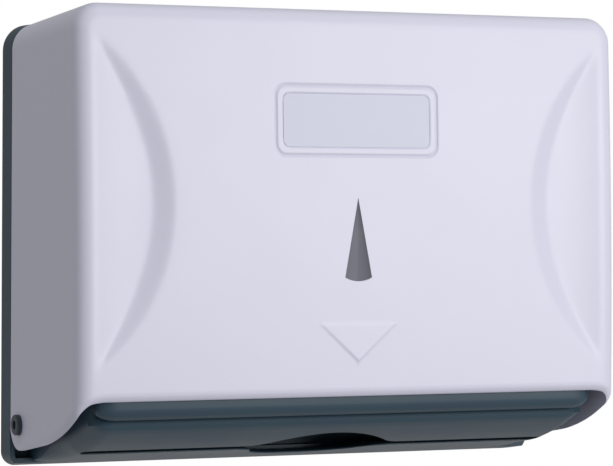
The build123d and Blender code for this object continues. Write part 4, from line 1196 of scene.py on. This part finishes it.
KEEPER_SCREWS = ["keeper_screw_1", "keeper_screw_2"]
SCREW_HEAD_HEIGHT = 1.9 * MM
HEAD_RINGS = 10
HEAD_SIDES = 28
HEAD_TOP_SHARE = 0.45
DOME_POWER = 3.5
RECESS_LIFT = 1.08
SHANK_SIDES = 24


def add_node(tree, kind, **settings):
    """Node in a tree, with its own properties set."""
    node = tree.nodes.new(kind)
    for name, value in settings.items():
        setattr(node, name, value)
    return node


def vector_of(tree, **parts):
    """Vector put together from sockets named by axis."""
    node = add_node(tree, "ShaderNodeCombineXYZ")
    for axis, value in parts.items():
        tree.links.new(value, node.inputs[axis])
    return node.outputs[0]


def shifted(tree, mesh, up):
    """Geometry moved along Z."""
    node = add_node(tree, "GeometryNodeTransform")
    tree.links.new(mesh, node.inputs["Geometry"])
    tree.links.new(vector_of(tree, Z=up), node.inputs["Translation"])
    return node.outputs["Geometry"]


def screw_head(tree, start):
    """Domed head: a line along Z, swept by a circle whose radius shrinks towards the top."""
    link = tree.links.new
    line = add_node(tree, "GeometryNodeCurvePrimitiveLine")
    link(vector_of(tree, Z=start["Head height"]), line.inputs["End"])
    rings = add_node(tree, "GeometryNodeResampleCurve")
    rings.inputs["Count"].default_value = HEAD_RINGS
    link(line.outputs["Curve"], rings.inputs["Curve"])
    along = add_node(tree, "GeometryNodeSplineParameter").outputs["Factor"]
    dome = maths(tree, "SUBTRACT", 1.0, maths(tree, "POWER", along, DOME_POWER))
    share = maths(tree, "POWER", maths(tree, "MAXIMUM", dome, 0.0), 0.5)
    share = maths(tree, "MAXIMUM", share, HEAD_TOP_SHARE)
    circle = add_node(tree, "GeometryNodeCurvePrimitiveCircle")
    circle.inputs["Radius"].default_value = 1.0
    circle.inputs["Resolution"].default_value = HEAD_SIDES
    lathe = add_node(tree, "GeometryNodeCurveToMesh")
    lathe.inputs["Fill Caps"].default_value = True
    link(rings.outputs["Curve"], lathe.inputs["Curve"])
    link(circle.outputs["Curve"], lathe.inputs["Profile Curve"])
    link(maths(tree, "MULTIPLY", share, start["Head radius"]), lathe.inputs["Scale"])
    return lathe.outputs["Mesh"]


def cross_recessed(tree, start, head):
    """Head with two crossing slots cut into its top."""
    link = tree.links.new
    cut = add_node(tree, "GeometryNodeMeshBoolean", operation="DIFFERENCE", solver="EXACT")
    cut.inputs["Self Intersection"].default_value = True
    link(head, cut.inputs["Mesh 1"])
    height = start["Head height"]
    long, wide = start["Recess length"], start["Recess width"]
    for across, down in ((long, wide), (wide, long)):
        slot = add_node(tree, "GeometryNodeMeshCube")
        link(vector_of(tree, X=across, Y=down, Z=height), slot.inputs["Size"])
        lift = maths(tree, "MULTIPLY", height, RECESS_LIFT)
        link(shifted(tree, slot.outputs["Mesh"], lift), cut.inputs["Mesh 2"])
    return cut.outputs["Mesh"]


def screw_shank(tree, start):
    """Shank that hangs below the head."""
    shank = add_node(tree, "GeometryNodeMeshCylinder")
    shank.inputs["Vertices"].default_value = SHANK_SIDES
    tree.links.new(start["Shank radius"], shank.inputs["Radius"])
    tree.links.new(start["Shank length"], shank.inputs["Depth"])
    return shifted(tree, shank.outputs["Mesh"], maths(tree, "MULTIPLY", start["Shank length"], -0.5))


def screw_tree(material):
    """Geometry tree that stands a pan-head screw with a cross recess on each point, along -Y."""
    tree = bpy.data.node_groups.new("pan-head screws", "GeometryNodeTree")
    tree.interface.new_socket("Geometry", in_out="INPUT", socket_type="NodeSocketGeometry")
    tree.interface.new_socket("Geometry", in_out="OUTPUT", socket_type="NodeSocketGeometry")
    for label, default in (
            ("Head radius", 2.8 * MM), ("Head height", SCREW_HEAD_HEIGHT), ("Shank radius", 1.5 * MM),
            ("Shank length", 6.6 * MM), ("Recess length", 2.6 * MM), ("Recess width", 0.7 * MM)):
        socket = tree.interface.new_socket(label, in_out="INPUT", socket_type="NodeSocketFloat")
        socket.default_value = default
    start = add_node(tree, "NodeGroupInput").outputs
    link = tree.links.new

    whole = add_node(tree, "GeometryNodeJoinGeometry")
    link(cross_recessed(tree, start, screw_head(tree, start)), whole.inputs[0])
    link(screw_shank(tree, start), whole.inputs[0])
    stand = add_node(tree, "GeometryNodeInstanceOnPoints")
    stand.inputs["Rotation"].default_value = (QUARTER, 0.0, 0.0)
    link(start["Geometry"], stand.inputs["Points"])
    link(whole.outputs[0], stand.inputs["Instance"])
    real = add_node(tree, "GeometryNodeRealizeInstances")
    link(stand.outputs["Instances"], real.inputs["Geometry"])
    paint = add_node(tree, "GeometryNodeSetMaterial")
    paint.inputs["Material"].default_value = material
    link(real.outputs["Geometry"], paint.inputs["Geometry"])
    link(paint.outputs["Geometry"], add_node(tree, "NodeGroupOutput").inputs[0])
    return tree


def node_input(modifier, label, value):
    """Sets a geometry modifier's named input by its socket's identifier."""
    modifier[modifier.node_group.interface.items_tree[label].identifier] = value


def make_screws(name, nodes):
    """One mesh of screws that stands for a row of CAD screws on the base."""
    boxes = [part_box(node) for node in nodes]
    seats = [
        ((low.x + high.x) / 2, low.y + SCREW_HEAD_HEIGHT, (low.z + high.z) / 2) for low, high in boxes]
    shank_end_y = boxes[0][1].y
    piece = mesh_from(name, seats, [])
    stand = piece.modifiers.new("screws", "NODES")
    stand.node_group = screw_tree(finishes()["zinc_screw"])
    node_input(stand, "Head height", SCREW_HEAD_HEIGHT)
    node_input(stand, "Shank length", shank_end_y - seats[0][1])
    bake_modifiers(piece)
    shade(piece, SCREW_SMOOTH_ANGLE)
    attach(piece, "base")
    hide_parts(*nodes)


# ---------------------------------------------------------------- stage

CAMERA_PLACE = (-0.59912, -1.33565, 0.02091)
CAMERA_FORWARD = (0.42062, 0.90708, -0.01665)
CAMERA_UP = (0.00127, 0.01777, 0.99984)
CAMERA_LENS = 180.57
CAMERA_SENSOR_WIDTH = 36.0
CAMERA_CLIP_END = 20.0

WHITE = (1.0, 1.0, 1.0, 1.0)
SURROUNDINGS_COLOUR = (0.97, 0.98, 1.0, 1.0)
SURROUNDINGS_STRENGTH = 0.41
FLOOR_DROP = 0.26
FLOOR_HALF = 1.6
FLOOR_COLOUR = (0.42, 0.42, 0.44, 1.0)
FLOOR_ROUGHNESS = 0.8
FLOOR_WHITE_GLOSS = 0.6

LAMP_TARGET = (0.0, -0.06, 0.0)
LAMPS = (
    # name, place, size in metres, power in watts
    ("key", (0.62, -1.35, 0.16), 0.6, 9.9),
    ("top", (0.0, -0.5, 1.1), 0.8, 1.7))


def area_lamp(name, place, size, power):
    """Soft square lamp that looks at the dispenser."""
    lamp = bpy.data.lights.new(name, "AREA")
    lamp.shape = "SQUARE"
    lamp.size = size
    lamp.energy = power
    holder = bpy.data.objects.new(name, lamp)
    bpy.context.scene.collection.objects.link(holder)
    holder.location = place
    towards = Vector(LAMP_TARGET) - Vector(place)
    holder.rotation_euler = towards.to_track_quat("-Z", "Y").to_euler()


def seen_white(tree, plain, white_kind, gloss):
    """Mixes a plain shader with white for what the camera sees, and in part for gloss."""
    path = tree.nodes.new("ShaderNodeLightPath")
    white = tree.nodes.new(white_kind)
    white.inputs["Color"].default_value = WHITE
    white.inputs["Strength"].default_value = 1.0
    mix = tree.nodes.new("ShaderNodeMixShader")
    seen = maths(tree, "MAXIMUM", path.outputs["Is Camera Ray"], path.outputs["Is Transmission Ray"])
    reflected = maths(tree, "MULTIPLY", path.outputs["Is Glossy Ray"], gloss)
    tree.links.new(maths(tree, "MAXIMUM", seen, reflected), mix.inputs[0])
    tree.links.new(plain.outputs[0], mix.inputs[1])
    tree.links.new(white.outputs[0], mix.inputs[2])
    return mix.outputs[0]


def build_world():
    """Even pale surroundings, plain white where the camera sees them."""
    world = bpy.data.worlds.new("surroundings")
    bpy.context.scene.world = world
    world.use_nodes = True
    tree = world.node_tree
    plain = tree.nodes["Background"]
    plain.inputs["Color"].default_value = SURROUNDINGS_COLOUR
    plain.inputs["Strength"].default_value = SURROUNDINGS_STRENGTH
    mixed = seen_white(tree, plain, "ShaderNodeBackground", 0.0)
    tree.links.new(mixed, tree.nodes["World Output"].inputs["Surface"])


def build_floor():
    """Pale floor well below the dispenser, which lights its underside and is clear from below."""
    half, z = FLOOR_HALF, CAD_BOX[0].z - FLOOR_DROP
    corners = [(-half, -half, z), (half, -half, z), (half, half, z), (-half, half, z)]
    floor = mesh_from("floor", corners, [(0, 1, 2, 3)])
    material, tree, shader = plain_material("pale floor", FLOOR_ROUGHNESS)
    shader.inputs["Base Color"].default_value = FLOOR_COLOUR
    mixed = seen_white(tree, shader, "ShaderNodeEmission", FLOOR_WHITE_GLOSS)
    below = tree.nodes.new("ShaderNodeMixShader")
    tree.links.new(tree.nodes.new("ShaderNodeNewGeometry").outputs["Backfacing"], below.inputs[0])
    tree.links.new(mixed, below.inputs[1])
    tree.links.new(tree.nodes.new("ShaderNodeBsdfTransparent").outputs[0], below.inputs[2])
    tree.links.new(below.outputs[0], tree.nodes["Material Output"].inputs["Surface"])
    dress(floor, material)


def build_camera():
    """Camera level with the dispenser and to its left."""
    data = bpy.data.cameras.new("camera")
    data.lens = CAMERA_LENS
    data.sensor_width = CAMERA_SENSOR_WIDTH
    data.clip_end = CAMERA_CLIP_END
    camera = bpy.data.objects.new("camera", data)
    bpy.context.scene.collection.objects.link(camera)
    forward = Vector(CAMERA_FORWARD).normalized()
    right = forward.cross(Vector(CAMERA_UP)).normalized()
    turn = Matrix((right, right.cross(forward), -forward)).transposed()
    camera.matrix_world = Matrix.Translation(CAMERA_PLACE) @ turn.to_4x4()
    bpy.context.scene.camera = camera


# ---------------------------------------------------------------- operators

class CoverOperator(bpy.types.Operator):
    """Builds the moulded cover with its scoops, label field, arrow and rounded lip"""

    bl_idname = "dispenser.cover"
    bl_label = "Moulded cover"

    def execute(self, context):
        form = CoverForm(context.scene.dispenser_cover)
        shell = CoverMesh(form)
        shell.build()
        piece = mesh_from("moulded_cover", shell.points, shell.faces)
        cut_openings(piece, form)
        shade(piece, COVER_SMOOTH_ANGLE)
        dress(piece, finishes()["cover_plastic"])
        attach(piece, "cover")
        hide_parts("front_cover")
        return {"FINISHED"}


class MouldingsOperator(bpy.types.Operator):
    """Finishes the dark base and builds the outlet tray with its soft ends"""

    bl_idname = "dispenser.mouldings"
    bl_label = "Dark mouldings"

    def execute(self, context):
        finish_nodes("dark_plastic", "back_plate")
        piece = make_tray(context.scene.dispenser_tray)
        shade(piece, TRAY_SMOOTH_ANGLE)
        dress(piece, finishes()["dark_plastic"])
        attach(piece, "base")
        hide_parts("outlet_tray")
        return {"FINISHED"}


class FittingsOperator(bpy.types.Operator):
    """Finishes the window, the label, the hinge, the lock and its keeper"""

    bl_idname = "dispenser.fittings"
    bl_label = "Window, label, hinge and lock"

    def execute(self, context):
        finish_nodes("smoke_window", "level_window")
        finish_nodes("label_plastic", "label_plate")
        finish_nodes("bush_plastic", "hinge_bush_left", "hinge_bush_right")
        finish_nodes("pin_steel", "hinge_pin_left", "hinge_pin_right")
        finish_nodes("lock_chrome", "lock_housing", "lock_barrel")
        finish_nodes("lock_brass", "lock_nut")
        finish_nodes("keeper_steel", "keeper", "lock_cam")
        finish_nodes("zinc_screw", "cam_screw")
        return {"FINISHED"}


class ScrewsOperator(bpy.types.Operator):
    """Stands the small screws on the base"""

    bl_idname = "dispenser.screws"
    bl_label = "Screws"

    def execute(self, context):
        make_screws("tray_screws", TRAY_SCREWS)
        make_screws("keeper_screws", KEEPER_SCREWS)
        return {"FINISHED"}


class StageOperator(bpy.types.Operator):
    """Sets the floor, the lamps, the surroundings and the camera"""

    bl_idname = "dispenser.stage"
    bl_label = "Stage"

    def execute(self, context):
        context.scene.view_settings.view_transform = "Standard"
        build_world()
        build_floor()
        build_camera()
        for name, place, size, power in LAMPS:
            area_lamp(name, place, size, power)
        return {"FINISHED"}


SETTINGS = {
    "dispenser_cover": CoverSizes,
    "dispenser_tray": TraySizes,
    "dispenser_colours": DispenserColours,
}
OPERATORS = (CoverOperator, MouldingsOperator, FittingsOperator, ScrewsOperator, StageOperator)


class DispenserPanel(bpy.types.Panel):
    """Settings of the dispenser and buttons that build each part of it"""

    bl_idname = "VIEW3D_PT_dispenser"
    bl_label = "Towel dispenser"
    bl_space_type = "VIEW_3D"
    bl_region_type = "UI"
    bl_category = "Dispenser"

    def draw(self, context):
        for name, kind in SETTINGS.items():
            for label in kind.__annotations__:
                self.layout.prop(getattr(context.scene, name), label)
        for operator in OPERATORS:
            self.layout.operator(operator.bl_idname)


def register():
    """Registers the settings, the operators and the panel."""
    for kind in (*SETTINGS.values(), *OPERATORS, DispenserPanel):
        bpy.utils.register_class(kind)
    for name, kind in SETTINGS.items():
        setattr(bpy.types.Scene, name, bpy.props.PointerProperty(type=kind))


def unregister():
    """Takes out what register put in."""
    for name in SETTINGS:
        delattr(bpy.types.Scene, name)
    for kind in (DispenserPanel, *reversed(OPERATORS), *reversed(SETTINGS.values())):
        bpy.utils.unregister_class(kind)


def main():
    """Builds everything in order."""
    register()
    bpy.ops.dispenser.cover()
    bpy.ops.dispenser.mouldings()
    bpy.ops.dispenser.fittings()
    bpy.ops.dispenser.screws()
    bpy.ops.dispenser.stage()


if __name__ == "__main__":
    main()
